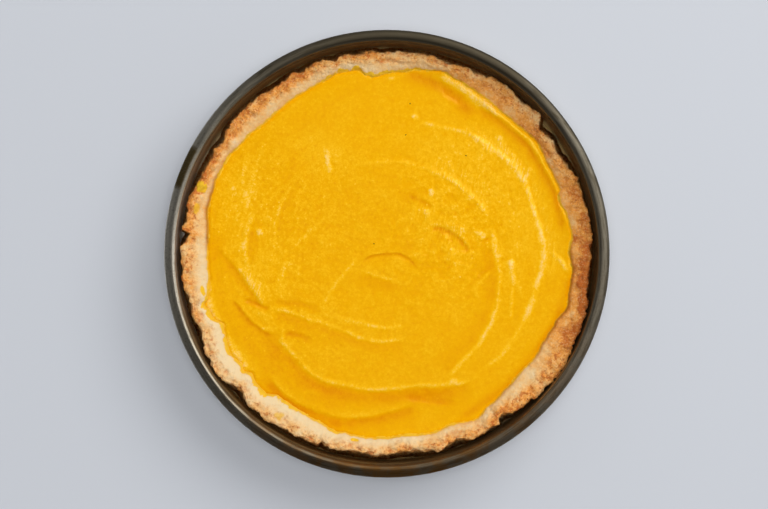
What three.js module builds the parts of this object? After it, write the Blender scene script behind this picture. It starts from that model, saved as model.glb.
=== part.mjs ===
// A round open pie baked in a deep steel tin: tin, shortcrust case and smooth filling.
// Millimetres, +Z up. The origin is the centre of the tin's underside, where it stands.
// Angles are in degrees, anticlockwise from +X seen from above.

import * as THREE from 'three';

// ---------------------------------------------------------------- driving dimensions

const tinDiameter = 258;
const tinHeight = 46;
const sheet = 1.0;
const rimWidth = 5.9;
const rimRollRadius = 2.3;
const rimBendRadius = 1.0;
const rimFall = 0.3;
const wallDraft = 0.2;
const tinCornerRadius = 4;
const gap = 0.35;

// The case stands below the rim. Its crest is rounded and uneven, and slopes in to the filling.
const crustRadius = 118.0;
const crustTop = tinHeight - 12.7;
const crustBase = 5.0;
const crustFoot = 119.6;
const crestWidth = 7.0;
const crustLumpHeight = 0.9;
const crustCragHeight = 0.55;
const crustRaggedEdge = 0.45;

const fillingRadius = 106.7;
const fillingTop = tinHeight - 17.7;
const fillingLean = 3.6;
const fillingDome = 0.5;
const fillingSwell = 0.4;
const fillingRaggedEdge = 0.3;
const fillingLip = 1.2;

// Segments round the tin, and rings of the filling. The crust follows the filling's edge,
// so both have the same number of steps round.
const tinSegments = 96;
const fillingRings = 27;
const stepsRound = 6 * fillingRings;

// Where the edge of the crust bulges out or is nicked: place, reach and half width.
const crustLobes = [
  { at: 12.5, out: 1.3, span: 10 },
  { at: 29.5, out: -2.9, span: 5.5 },
  { at: 38.8, out: -3.7, span: 2.4 },
  { at: 43, out: 3.0, span: 3.6 },
  { at: 56.5, out: 1.7, span: 5 },
  { at: 77.5, out: 0.8, span: 5 },
  { at: 94, out: 1.2, span: 2.4 },
  { at: 115, out: -1.3, span: 2.6 },
  { at: 121.5, out: -0.9, span: 3 },
  { at: 136, out: 1.0, span: 6 },
  { at: 144.5, out: -2.4, span: 2.8 },
  { at: 152, out: -1.2, span: 5 },
  { at: 165, out: 1.6, span: 5 },
  { at: 171.8, out: 3.6, span: 2.6 },
  { at: 174.9, out: -3.2, span: 2.2 },
  { at: 178.5, out: 1.6, span: 3 },
  { at: 186.5, out: 2.6, span: 4.5 },
  { at: 196, out: 1.0, span: 4 },
  { at: 201.5, out: -1.0, span: 2.6 },
  { at: 212.5, out: 4.2, span: 7 },
  { at: 223, out: -2.0, span: 2.6 },
  { at: 231, out: 2.3, span: 5.5 },
  { at: 250.8, out: -2.0, span: 2.2 },
  { at: 258, out: -0.8, span: 4 },
  { at: 275, out: -1.6, span: 6 },
  { at: 290.5, out: -2.0, span: 2.8 },
  { at: 304.5, out: -2.4, span: 2.4 },
  { at: 325, out: 4.0, span: 12 },
  { at: 342, out: 2.6, span: 7 },
];

// Where the edge of the filling runs up the crust or falls short of it.
const fillingLobes = [
  { at: 2, out: -0.9, span: 3 },
  { at: 7, out: 1.2, span: 4 },
  { at: 17.5, out: -1.2, span: 3 },
  { at: 37, out: 1.8, span: 6 },
  { at: 73, out: 3.8, span: 10 },
  { at: 94, out: -2.2, span: 4.5 },
  { at: 101.5, out: 3.1, span: 6 },
  { at: 132, out: -1.8, span: 8 },
  { at: 151, out: 1.9, span: 9 },
  { at: 164, out: 0.9, span: 4 },
  { at: 180, out: -1.9, span: 10 },
  { at: 196.2, out: 3.8, span: 2.8 },
  { at: 199.5, out: 2.0, span: 3 },
  { at: 203.5, out: -2.2, span: 2.6 },
  { at: 213, out: 2.0, span: 7 },
  { at: 227, out: 1.6, span: 4 },
  { at: 236, out: -2.2, span: 6 },
  { at: 254.5, out: 1.6, span: 3 },
  { at: 265, out: 1.0, span: 8 },
  { at: 285, out: 1.0, span: 5 },
  { at: 299, out: 2.6, span: 5 },
  { at: 320, out: -2.6, span: 11 },
  { at: 332, out: -1.6, span: 6 },
  { at: 344, out: 2.8, span: 4.5 },
  { at: 355, out: 1.4, span: 3 },
];

// The palette knife's marks. Each runs through a few points of the filling's top and is a
// ridge (rise above 0) or a groove (below 0), with a step down to the right of its direction.
const knifeMarks = [
  { name: 'outer ridge', rise: 1.0, drop: -0.5, width: 3.6,
    path: [[9, 85], [29, 76], [58, 62], [77, 46], [87, 24], [93, 0], [87, -27], [64, -62], [44, -75]] },
  { name: 'upper lip', rise: 1.0, drop: 0.6, width: 4.5,
    path: [[17, 101], [44, 92], [77, 71], [94, 49], [104, 24]] },
  { name: 'middle arc', rise: 0.8, drop: 0.6, width: 4,
    path: [[-30, 46], [-9, 52], [17, 50], [38, 43], [51, 31], [61, 20]] },
  { name: 'short curl', rise: 0.7, drop: 0.5, width: 3.5,
    path: [[8, 39], [17, 40], [25, 38], [26, 32]] },
  { name: 'torn step', rise: 0.4, drop: 0.9, width: 3.5,
    path: [[23, 16], [32, 15], [39, 11], [45, 6], [49, -2]] },
  { name: 'centre crescent', rise: 0.3, drop: 1.2, width: 3.5,
    path: [[-13, -3], [-5, 0], [4, 1], [11, -1], [18, -11]] },
  { name: 'crescent tail', rise: 0.7, drop: 0.3, width: 4,
    path: [[-13, -4], [-21, -8], [-31, -21], [-38, -35]] },
  { name: 'left arc', rise: 0.5, drop: 0.3, width: 4,
    path: [[-18, 30], [-38, 20], [-54, 2], [-63, -18], [-66, -27]] },
  { name: 'left furrow', rise: -1.0, drop: 0.5, width: 4,
    path: [[-96, 1], [-90, -8], [-84, -17], [-72, -33]] },
  { name: 'left loop', rise: -0.8, drop: -0.4, width: 4,
    path: [[-85, -35], [-79, -40], [-66, -47]] },
  { name: 'long lower step', rise: 0.7, drop: 1.2, width: 4,
    path: [[-63, -46], [-56, -57], [-41, -71], [-21, -78], [5, -79], [29, -78]] },
  { name: 'lowest ridge', rise: 0.9, drop: 0.9, width: 4,
    path: [[-60, -78], [-41, -89], [-18, -94], [5, -92], [16, -89]] },
  { name: 'right inner arc', rise: 1.0, drop: -0.5, width: 3.6,
    path: [[63, 8], [68, -12], [66, -26], [57, -49], [38, -71]] },
  { name: 'lower fan', rise: 0.5, drop: 0.3, width: 4,
    path: [[-63, -30], [-38, -40], [-15, -48], [13, -48]] },
];

// ---------------------------------------------------------------- small helpers

const circle = 2 * Math.PI;

// Seeded random numbers from 0 to 1.
function seeded(seed) {
  let state = seed;
  return () => {
    state = (state + 0x6d2b79f5) | 0;
    let mixed = Math.imul(state ^ (state >>> 15), 1 | state);
    mixed = (mixed + Math.imul(mixed ^ (mixed >>> 7), 61 | mixed)) ^ mixed;
    return ((mixed ^ (mixed >>> 14)) >>> 0) / 4294967296;
  };
}

// An unevenness that repeats once round: a few waves of seeded phase, about -1 to 1.
function unevenness(seed, slowest, fastest) {
  const random = seeded(seed);
  const waves = [];
  for (let count = slowest; count <= fastest; count += 1) {
    waves.push({ count, phase: circle * random(), lean: 3 * random() - 1.5 });
  }
  const scale = Math.sqrt(2 / waves.length) / 1.6;
  return (angle, along = 0) => scale * waves.reduce(
    (sum, wave) => sum + Math.cos(wave.count * angle + wave.phase + wave.lean * along), 0);
}

// The sum of the lobes at an angle. Each is a smooth hump, nothing outside its span.
function lobeReach(lobes, angle) {
  const degrees = THREE.MathUtils.radToDeg(angle);
  return lobes.reduce((sum, lobe) => {
    const away = THREE.MathUtils.euclideanModulo(degrees - lobe.at + 180, 360) - 180;
    const part = Math.abs(away) / lobe.span;
    return part < 1 ? sum + lobe.out * Math.cos(part * Math.PI / 2) ** 2 : sum;
  }, 0);
}

const crustRaggedness = unevenness(11, 25, 60);
const crustLumps = unevenness(23, 7, 34);
const fillingRaggedness = unevenness(37, 20, 50);

const crustEdge = (angle) => crustRadius + lobeReach(crustLobes, angle)
  + crustRaggedEdge * crustRaggedness(angle);
const fillingEdge = (angle) => fillingRadius + lobeReach(fillingLobes, angle)
  + fillingRaggedEdge * fillingRaggedness(angle);

// ---------------------------------------------------------------- tin

// Corner points of an arc, in radius and height, from one angle to another.
function arc(centreR, centreZ, radius, fromDegrees, toDegrees, steps) {
  return Array.from({ length: steps + 1 }, (_, i) => {
    const turn = THREE.MathUtils.degToRad(fromDegrees + (toDegrees - fromDegrees) * i / steps);
    return new THREE.Vector2(centreR + radius * Math.cos(turn), centreZ + radius * Math.sin(turn));
  });
}

// A pressed cup with hardly any draft. Its wall bends outwards into a rim that rises a little
// and is rolled over and under at its edge.
function tinGeometry() {
  const outerR = tinDiameter / 2;
  const insideTop = outerR - rimWidth;
  const insideFoot = insideTop - wallDraft;
  const outsideFoot = insideFoot + sheet;
  const cornerIn = tinCornerRadius - sheet;
  const rollR = outerR - rimRollRadius;
  const rollZ = tinHeight - rimRollRadius;
  const profile = [
    new THREE.Vector2(0, 0),
    ...arc(outsideFoot - tinCornerRadius, tinCornerRadius, tinCornerRadius, -90, 0, 2),
    new THREE.Vector2(insideTop + sheet, rollZ - 0.8 * rimRollRadius),
    ...arc(rollR, rollZ, rimRollRadius, -90, 90, 6),
    ...arc(insideTop + rimBendRadius, tinHeight - rimFall - rimBendRadius, rimBendRadius, 90, 180, 3),
    ...arc(insideFoot - cornerIn, tinCornerRadius, cornerIn, 0, -90, 2),
    new THREE.Vector2(0, sheet),
  ];
  return new THREE.LatheGeometry(profile, tinSegments).rotateX(Math.PI / 2);
}

// ---------------------------------------------------------------- crust

// How high the crest of the case stands at an angle. It sags where it bulges or is nicked.
const crestSag = 0.12;
const crestHeight = (angle) => crustTop + crustLumpHeight * crustLumps(angle)
  - crestSag * Math.abs(lobeReach(crustLobes, angle));

// The section of the case at an angle, from the middle of its underside, up the outside,
// over the crest, down the inside and back to the middle. All sections have the same points.
function crustSection(angle) {
  const edge = crustEdge(angle);
  const inner = fillingEdge(angle) + gap;
  const crest = crestHeight(angle);
  const under = sheet + gap;
  const floor = under + crustBase;
  const foot = Math.min(crustFoot, edge + 1.5);
  const brim = fillingTop + 0.2;
  const crag = (along) => crustCragHeight * crustLumps(2 * angle, along);
  const crestFoot = edge - 0.75 * crestWidth;
  return [
    [0, under],
    [foot - tinCornerRadius - 1, under],
    [foot - 1.6, under + 3.2],
    [foot - 0.4, under + 8],
    [(foot + edge) / 2, crest - 11],
    [edge - 0.5, crest - 6],
    [edge, crest - 3.2 + crag(1)],
    [edge - 0.1 * crestWidth, crest - 1.3 + crag(2)],
    [edge - 0.26 * crestWidth, crest - 0.2 + crag(3)],
    [edge - 0.5 * crestWidth, crest + 0.3 + crag(4)],
    [crestFoot, crest - 0.5 + crag(5)],
    [inner + 0.45 * (crestFoot - inner), brim + 0.55 * (crest - brim) + 0.5 * crag(6)],
    [inner + 0.2, brim],
    [inner, brim - fillingLip],
    [inner - fillingLean, floor + 3],
    [inner - fillingLean - 2.4, floor],
    [0, floor],
  ];
}

// A lathe of as many points as the section has, with each vertex moved to its own section.
function crustGeometry() {
  const points = crustSection(0).length;
  const blank = Array.from({ length: points }, (_, i) => new THREE.Vector2(
    i === 0 || i === points - 1 ? 0 : 1, i));
  const geometry = new THREE.LatheGeometry(blank, stepsRound);
  const position = geometry.attributes.position;
  for (let step = 0; step <= stepsRound; step += 1) {
    const angle = circle * (step % stepsRound) / stepsRound;
    crustSection(angle).forEach(([radius, height], i) => {
      position.setXYZ(step * points + i, radius * Math.cos(angle), radius * Math.sin(angle), height);
    });
  }
  return geometry;
}

// ---------------------------------------------------------------- filling

// The nearest place on a mark to a point: distance across it, with the right side positive,
// and a fade that brings the mark to nothing at its two ends.
function acrossMark(mark, x, y) {
  let best = { distance: Infinity, side: 0, fade: 0 };
  const last = mark.points.length - 1;
  for (let i = 0; i < last; i += 1) {
    const from = mark.points[i];
    const dx = mark.points[i + 1].x - from.x;
    const dy = mark.points[i + 1].y - from.y;
    const length = Math.hypot(dx, dy);
    const along = THREE.MathUtils.clamp(((x - from.x) * dx + (y - from.y) * dy) / length ** 2, 0, 1);
    const distance = Math.hypot(x - from.x - along * dx, y - from.y - along * dy);
    if (distance < best.distance) {
      const right = (x - from.x) * dy - (y - from.y) * dx;
      best = { distance, side: Math.sign(right), fade: Math.sin(Math.PI * (i + along) / last) };
    }
  }
  return best;
}

const marks = knifeMarks.map((mark) => {
  const route = mark.path.map(([x, y]) => new THREE.Vector3(x, y, 0));
  return { ...mark, points: new THREE.CatmullRomCurve3(route).getPoints(4 * route.length) };
});

// Height of a mark at a point: a ridge or groove, and a step down that dies away to its right.
function markHeight(mark, x, y) {
  const { distance, side, fade } = acrossMark(mark, x, y);
  const near = distance / mark.width;
  const ridge = mark.rise * Math.exp(-2 * near ** 2);
  const step = side > 0 ? mark.drop * (1 - Math.exp(-2 * near ** 2)) * Math.exp(-0.6 * near) : 0;
  return Math.sqrt(fade) * (ridge - step);
}

const spreadWaves = unevenness(51, 2, 7);

// Height of the filling's top, from the fraction of the way out to its edge.
function fillingHeight(part, angle, radius) {
  const x = radius * Math.cos(angle);
  const y = radius * Math.sin(angle);
  const relief = marks.reduce((sum, mark) => sum + markHeight(mark, x, y), 0);
  const atEdge = THREE.MathUtils.smoothstep(part, 0.93, 1);
  const dome = fillingDome * (1 - part ** 2);
  const swell = fillingSwell * part * spreadWaves(angle, 3 * part);
  return fillingTop + (1 - atEdge) * (relief + dome + swell) - 0.4 * fillingLip * atEdge;
}

// The top is rings of 6, 12, 18 ... points, so that its triangles are even. A skirt follows
// the inside of the case down to the flat underside.
function fillingGeometry() {
  const floor = sheet + crustBase + 2 * gap;
  const vertices = [[0, 0, fillingHeight(0, 0, 0)]];
  const faces = [];
  const firstOf = (ring) => (ring === 0 ? 0 : 1 + 3 * ring * (ring - 1));
  for (let ring = 1; ring <= fillingRings; ring += 1) {
    for (let i = 0; i < 6 * ring; i += 1) {
      const angle = circle * i / (6 * ring);
      const part = ring / fillingRings;
      const radius = part * fillingEdge(angle);
      const height = fillingHeight(part, angle, radius);
      vertices.push([radius * Math.cos(angle), radius * Math.sin(angle), height]);
    }
    const outer = firstOf(ring);
    const inner = firstOf(ring - 1);
    for (let sector = 0; sector < 6; sector += 1) {
      for (let i = 0; i < ring; i += 1) {
        const out = (k) => outer + (sector * ring + k) % (6 * ring);
        const into = (k) => inner + (ring === 1 ? 0 : (sector * (ring - 1) + k) % (6 * (ring - 1)));
        faces.push([out(i), out(i + 1), into(i)]);
        if (i < ring - 1) {
          faces.push([into(i), out(i + 1), into(i + 1)]);
        }
      }
    }
  }
  const skirt = [
    { inwards: 0, height: fillingTop - fillingLip },
    { inwards: fillingLean, height: floor + 3 },
    { inwards: fillingLean + 2.4, height: floor },
  ];
  let above = firstOf(fillingRings);
  for (const { inwards, height } of skirt) {
    const below = vertices.length;
    for (let i = 0; i < stepsRound; i += 1) {
      const angle = circle * i / stepsRound;
      const radius = fillingEdge(angle) - inwards;
      const next = (i + 1) % stepsRound;
      vertices.push([radius * Math.cos(angle), radius * Math.sin(angle), height]);
      faces.push([above + i, below + i, below + next], [above + i, below + next, above + next]);
    }
    above = below;
  }
  const middle = vertices.length;
  vertices.push([0, 0, floor]);
  for (let i = 0; i < stepsRound; i += 1) {
    faces.push([above + i, middle, above + (i + 1) % stepsRound]);
  }
  const geometry = new THREE.BufferGeometry();
  geometry.setAttribute('position', new THREE.Float32BufferAttribute(vertices.flat(), 3));
  geometry.setIndex(faces.flat());
  return geometry;
}

// ---------------------------------------------------------------- assembly

function piece(name, geometry, color, roughness, metalness) {
  const mesh = new THREE.Mesh(
    geometry, new THREE.MeshStandardMaterial({ color, roughness, metalness }));
  mesh.name = name;
  return mesh;
}

const pie = new THREE.Group();
pie.add(piece('tin', tinGeometry(), 0x3c3f3a, 0.35, 0.9));
pie.add(piece('crust', crustGeometry(), 0xd9a865, 0.85, 0));
pie.add(piece('filling', fillingGeometry(), 0xf2ad0c, 0.5, 0));

export default pie;
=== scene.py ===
"""Dresses a pumpkin pie in its baking tin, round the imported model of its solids.

Three pieces make it: a pressed steel tin with a rolled rim, a shortcrust case with a ragged
and toasted crest, and a smooth filling that a palette knife has spread. A few dabs of the
filling lie on the crust. Shapes are worked out in millimetres and scaled to metres when they
become meshes. Angles are degrees, anticlockwise from +X seen from above.
"""

import logging
import math
from dataclasses import dataclass
from enum import Enum

import bmesh
import bpy
import numpy as np
from mathutils import Matrix, Vector


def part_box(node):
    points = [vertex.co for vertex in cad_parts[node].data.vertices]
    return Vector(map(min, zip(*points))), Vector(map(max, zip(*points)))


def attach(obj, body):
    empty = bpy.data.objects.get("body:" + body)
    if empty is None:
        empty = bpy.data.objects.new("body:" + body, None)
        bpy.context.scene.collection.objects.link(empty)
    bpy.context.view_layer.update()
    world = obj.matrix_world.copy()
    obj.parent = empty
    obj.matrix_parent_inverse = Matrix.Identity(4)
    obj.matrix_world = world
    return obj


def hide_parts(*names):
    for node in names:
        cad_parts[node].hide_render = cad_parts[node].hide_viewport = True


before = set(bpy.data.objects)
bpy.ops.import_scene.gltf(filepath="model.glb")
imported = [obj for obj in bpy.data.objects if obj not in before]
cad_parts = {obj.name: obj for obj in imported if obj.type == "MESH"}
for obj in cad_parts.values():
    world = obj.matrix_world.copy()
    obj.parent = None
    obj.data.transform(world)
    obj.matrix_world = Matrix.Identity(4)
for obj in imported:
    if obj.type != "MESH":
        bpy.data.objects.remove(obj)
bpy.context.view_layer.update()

LOG = logging.getLogger("pie")
# One millimetre, in metres.
MILLIMETRE = 0.001
# The way of the fine strokes where the knife has torn the puree.
TEAR_WAY = math.radians(76.0)

Array = np.ndarray
Colour = tuple[float, float, float]
Mesh = bmesh.types.BMesh
Pairs = tuple[tuple[float, float], ...]
Section = list[tuple[float, float]]
Socket = bpy.types.NodeSocket


def node_top(name: str) -> float:
    """Highest point of a solid of the frame, in millimetres."""
    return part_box(name)[1][2] / MILLIMETRE


def node_foot(name: str) -> float:
    """Lowest point of a solid of the frame, in millimetres."""
    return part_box(name)[0][2] / MILLIMETRE


def node_reach(name: str) -> float:
    """How far a solid of the frame reaches along +X, in millimetres."""
    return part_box(name)[1][0] / MILLIMETRE


# ---------------------------------------------------------------- seeded unevenness


def eased(part: Array) -> Array:
    """Eases shares from 0 to 1 in and out."""
    return part * part * (3.0 - 2.0 * part)


class Unevenness:
    """Smooth seeded noise in space, between about -1 and 1."""

    lattice = 256
    layer_shift = 31.7

    def __init__(self, seed: int) -> None:
        """Draws the lattice of values.

        Args:
            seed: the seed of its random draws.
        """
        draws = np.random.default_rng(seed)
        self.order = draws.permutation(self.lattice)
        self.values = draws.uniform(-1.0, 1.0, self.lattice)

    def at(self, points: Array, size: float) -> Array:
        """Reads the noise.

        Args:
            points: places, one row of three numbers each.
            size: the size of one lump.

        Returns:
            One value for each place.
        """
        scaled = points / size
        cell = np.floor(scaled).astype(np.int64)
        part = eased(scaled - cell)
        total = np.zeros(len(points))
        for corner in range(8):
            step = np.array([corner & 1, corner >> 1 & 1, corner >> 2 & 1])
            x, y, z = (cell + step).T
            key = self.order[z % self.lattice]
            key = self.order[(key + y) % self.lattice]
            key = self.order[(key + x) % self.lattice]
            weight = np.prod(np.where(step == 1, part, 1.0 - part), axis=1)
            total += weight * self.values[key]
        return total

    def layered(self, points: Array, size: float, layers: int, keep: float = 0.5) -> Array:
        """Adds up layers of noise, each half the size of the one before.

        Args:
            points: places, one row of three numbers each.
            size: the size of the largest lumps.
            layers: how many layers.
            keep: the height of each layer against the one before.

        Returns:
            One value for each place.
        """
        total = np.zeros(len(points))
        for layer in range(layers):
            total += keep**layer * self.at(points + self.layer_shift * layer, size / 2**layer)
        return total


def smooth_between(values: Array, low: float | Array, high: float | Array) -> Array:
    """Rises smoothly from 0 at low to 1 at high."""
    return eased(np.clip((values - low) / (high - low), 0.0, 1.0))


def bell(values: Array, middle: float, width: float) -> Array:
    """A hump of height 1 round a middle."""
    return np.exp(-(((values - middle) / width) ** 2))


def degrees_from(angles: Array, middle: float) -> Array:
    """Signed angles from a direction, between -180 and 180 degrees."""
    return (angles - middle + 180.0) % 360.0 - 180.0


def bell_round(angles: Array, middle: float, width: float) -> Array:
    """A hump of height 1 round a direction."""
    return bell(degrees_from(angles, middle), 0.0, width)


def level_places(x: Array, y: Array) -> Array:
    """Places at height 0, one row of three numbers each."""
    return np.stack([x, y, 0 * x], axis=1)


def on_ring(radius: float | Array, angles: Array) -> Array:
    """Places at height 0 at a radius in each direction, one row of three numbers each."""
    turn = np.radians(angles)
    return level_places(radius * np.cos(turn), radius * np.sin(turn))


def around_values(turns: Pairs, angles: Array) -> Array:
    """Values all round, from the values at some directions.

    Args:
        turns: directions in degrees, rising, and the value at each.
        angles: directions to read.

    Returns:
        A value for each direction, with a smooth stretch between each two turns.
    """
    places, values = np.array(turns, dtype=float).T
    places = np.append(places, places[0] + 360.0)
    values = np.append(values, values[0])
    around = (angles - places[0]) % 360.0 + places[0]
    index = np.clip(np.searchsorted(places, around, side="right") - 1, 0, len(places) - 2)
    part = eased((around - places[index]) / (places[index + 1] - places[index]))
    return values[index] + part * (values[index + 1] - values[index])


def curve_through(points: Array, counts: tuple[int, ...]) -> Array:
    """Rounds a line through its points.

    Args:
        points: the points of the line, in order.
        counts: how many steps each stretch between two of them takes.

    Returns:
        The points of the curve, from the first point to the last.
    """
    padded = np.concatenate([points[:1], points, points[-1:]])
    curve = []
    for number, count in enumerate(counts):
        before, start, end, after = padded[number : number + 4]
        for step in range(count):
            t = step / count
            curve.append(
                0.5 * (2 * start + (end - before) * t
                       + (2 * before - 5 * start + 4 * end - after) * t**2
                       + (3 * start - before - 3 * end + after) * t**3)
            )
    curve.append(points[-1])
    return np.array(curve)


@dataclass(frozen=True)
class Outline:
    """An uneven round edge: a radius, the places where the edge turns in or out, and how far
    it has drawn back in baking, all by direction."""

    radius: float
    turns: Pairs
    shrunk: Pairs
    ragged: float
    seed: int

    def at(self, angles: Array) -> Array:
        """Radius of the edge.

        Args:
            angles: directions in degrees.

        Returns:
            The radius in millimetres in each direction.
        """
        out = around_values(self.turns, angles) - around_values(self.shrunk, angles)
        ring = on_ring(self.radius, angles)
        nibbled = Unevenness(self.seed).layered(ring, size=3.0, layers=3, keep=0.7)
        return self.radius + out + self.ragged * nibbled


# ---------------------------------------------------------------- mesh helpers


def spun(section: Section, steps: int, cuts: int) -> Mesh:
    """Spins a section round Z into a closed skin.

    Args:
        section: radius and height of its points in millimetres, both ends on the axis.
        steps: steps round.
        cuts: how many times each step is cut again; it's quicker than more steps.

    Returns:
        The mesh, with a layer "row" that numbers the points of the section.
    """
    mesh = bmesh.new()
    row = mesh.verts.layers.float.new("row")
    verts = [mesh.verts.new((radius, 0.0, height)) for radius, height in section]
    for number, vert in enumerate(verts):
        vert[row] = number
    edges = [mesh.edges.new(pair) for pair in zip(verts, verts[1:])]
    bmesh.ops.spin(
        mesh, geom=verts + edges, cent=(0, 0, 0), axis=(0, 0, 1), dvec=(0, 0, 0),
        angle=2 * math.pi, steps=steps, use_merge=True,
    )
    poles = [vert for vert in mesh.verts if vert.co.xy.length < 1e-6]
    bmesh.ops.remove_doubles(mesh, verts=poles, dist=1e-5)
    rings = [edge for edge in mesh.edges if edge.verts[0][row] == edge.verts[1][row]]
    bmesh.ops.subdivide_edges(mesh, edges=rings, cuts=cuts, use_grid_fill=True)
    bmesh.ops.recalc_face_normals(mesh, faces=mesh.faces)
    return mesh


def rows_of(mesh: Mesh) -> Array:
    """The number of the section's point that each vertex came from."""
    row = mesh.verts.layers.float["row"]
    return np.rint([vert[row] for vert in mesh.verts]).astype(int)


def places_of(mesh: Mesh) -> Array:
    """Places of a mesh's vertices, one row each."""
    return np.array([vert.co[:] for vert in mesh.verts])


def directions_of(mesh: Mesh) -> Array:
    """Directions of a mesh's vertices from the axis, between 0 and 360 degrees."""
    x, y, _ = places_of(mesh).T
    return np.degrees(np.arctan2(y, x)) % 360.0


def move_to(mesh: Mesh, places: Array) -> None:
    """Moves a mesh's vertices to new places, one row each."""
    for vert, place in zip(mesh.verts, places.tolist()):
        vert.co = place


def to_object(mesh: Mesh, name: str, marks: dict[str, Array] | None = None) -> bpy.types.Object:
    """Turns a mesh in millimetres into a smooth object in metres at the origin.

    Args:
        mesh: the mesh, which is freed.
        name: the object's name.
        marks: a value for each vertex, by the name of the attribute that holds it.

    Returns:
        The object, linked to the scene.
    """
    bmesh.ops.scale(mesh, vec=(MILLIMETRE, MILLIMETRE, MILLIMETRE), verts=mesh.verts)
    for face in mesh.faces:
        face.smooth = True
    data = bpy.data.meshes.new(name)
    mesh.to_mesh(data)
    mesh.free()
    for mark, values in (marks or {}).items():
        layer = data.attributes.new(mark, "FLOAT", "POINT")
        layer.data.foreach_set("value", np.asarray(values, dtype=np.float32))
    piece = bpy.data.objects.new(name, data)
    bpy.context.scene.collection.objects.link(piece)
    return piece


# ---------------------------------------------------------------- shader helpers


class Graph:
    """The node tree of a material or of the sky."""

    def __init__(self, owner: bpy.types.Material | bpy.types.World) -> None:
        """Empties the tree.

        Args:
            owner: the material or world that the tree belongs to.
        """
        owner.use_nodes = True
        self.owner = owner
        self.tree = owner.node_tree
        self.tree.nodes.clear()

    def node(self, kind: str, settings: dict | None = None, **sockets: object) -> bpy.types.Node:
        """Adds a node.

        Args:
            kind: the node's type, without ShaderNode.
            settings: its own settings, set before its sockets.
            sockets: values or links, by the socket's name in lower case with _ for a space, or
                by s and its number.

        Returns:
            The node.
        """
        node = self.tree.nodes.new("ShaderNode" + kind)
        for setting, value in (settings or {}).items():
            if setting == "stops":
                self._set_stops(node, value)
            else:
                setattr(node, setting, value)
        by_name = {}
        for socket in node.inputs:
            if socket.enabled:
                by_name.setdefault(socket.name.lower().replace(" ", "_"), socket)
        for key, value in sockets.items():
            numbered = key[0] == "s" and key[1:].isdigit()
            self.feed(node.inputs[int(key[1:])] if numbered else by_name[key], value)
        return node

    @staticmethod
    def _set_stops(node: bpy.types.Node, stops: list[tuple[float, Colour]]) -> None:
        """Sets the stops of a colour ramp.

        Args:
            node: the ramp's node.
            stops: the place and colour of each stop.
        """
        ramp = node.color_ramp.elements
        while len(ramp) < len(stops):
            ramp.new(0.5)
        for element, (place, colour) in zip(ramp, stops):
            element.position = place
            element.color = (*colour, 1.0)

    def feed(self, socket: Socket, value: object) -> None:
        """Links or sets one socket.

        Args:
            socket: the input socket.
            value: a number in the shader, an output socket, a colour or a plain value.
        """
        if isinstance(value, Number):
            value = value.socket
        if isinstance(value, Socket):
            self.tree.links.new(value, socket)
        elif isinstance(value, tuple) and len(value) == 3 and socket.type == "RGBA":
            socket.default_value = (*value, 1.0)
        else:
            socket.default_value = value

    def mark(self, name: str) -> "Number":
        """The value of an attribute of the mesh."""
        return Number(self, self.node("Attribute", {"attribute_name": name}).outputs["Fac"])

    def places(self) -> Socket:
        """Places on the piece, in metres."""
        return self.node("TexCoord").outputs["Object"]

    def split(self, vector: Socket) -> tuple["Number", "Number", "Number"]:
        """The three numbers of a vector."""
        node = self.node("SeparateXYZ", s0=vector)
        return tuple(Number(self, output) for output in node.outputs)

    def joined(self, x: object, y: object, z: object) -> Socket:
        """A vector of three numbers."""
        return self.node("CombineXYZ", s0=x, s1=y, s2=z).outputs[0]

    def noise(self, places: Socket, size_mm: float, detail: float) -> "Number":
        """Adds smooth noise.

        Args:
            places: where it is read.
            size_mm: the size of its lumps in millimetres.
            detail: how many finer layers it has.

        Returns:
            About 0.25 to 0.75.
        """
        scale = 1.0 / (size_mm * MILLIMETRE)
        node = self.node("TexNoise", vector=places, scale=scale, detail=detail, roughness=0.6)
        return Number(self, node.outputs[0])

    def spots(self, places: Socket, pitch_mm: float) -> "Number":
        """Distance to the nearest of scattered points, in shares of their pitch."""
        node = self.node("TexVoronoi", vector=places, scale=1.0 / (pitch_mm * MILLIMETRE))
        return Number(self, node.outputs["Distance"])

    def blend(self, share: "Number", first: object, second: object) -> Socket:
        """Goes from a first colour to a second as share goes from 0 to 1."""
        node = self.node("Mix", {"data_type": "RGBA"}, s0=share, s6=first, s7=second)
        return node.outputs[2]

    def bump(self, height: "Number", depth_mm: float, strength: float) -> Socket:
        """A normal that a height pattern of a depth in millimetres tilts."""
        node = self.node("Bump", strength=strength, distance=depth_mm * MILLIMETRE, height=height)
        return node.outputs[0]

    def finish(self, **sockets: object) -> bpy.types.Material:
        """Adds the surface shader and the output.

        Args:
            sockets: values or links of the Principled shader.

        Returns:
            The finished material.
        """
        shader = self.node("BsdfPrincipled", **sockets)
        self.node("OutputMaterial", surface=shader.outputs[0])
        return self.owner


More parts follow.
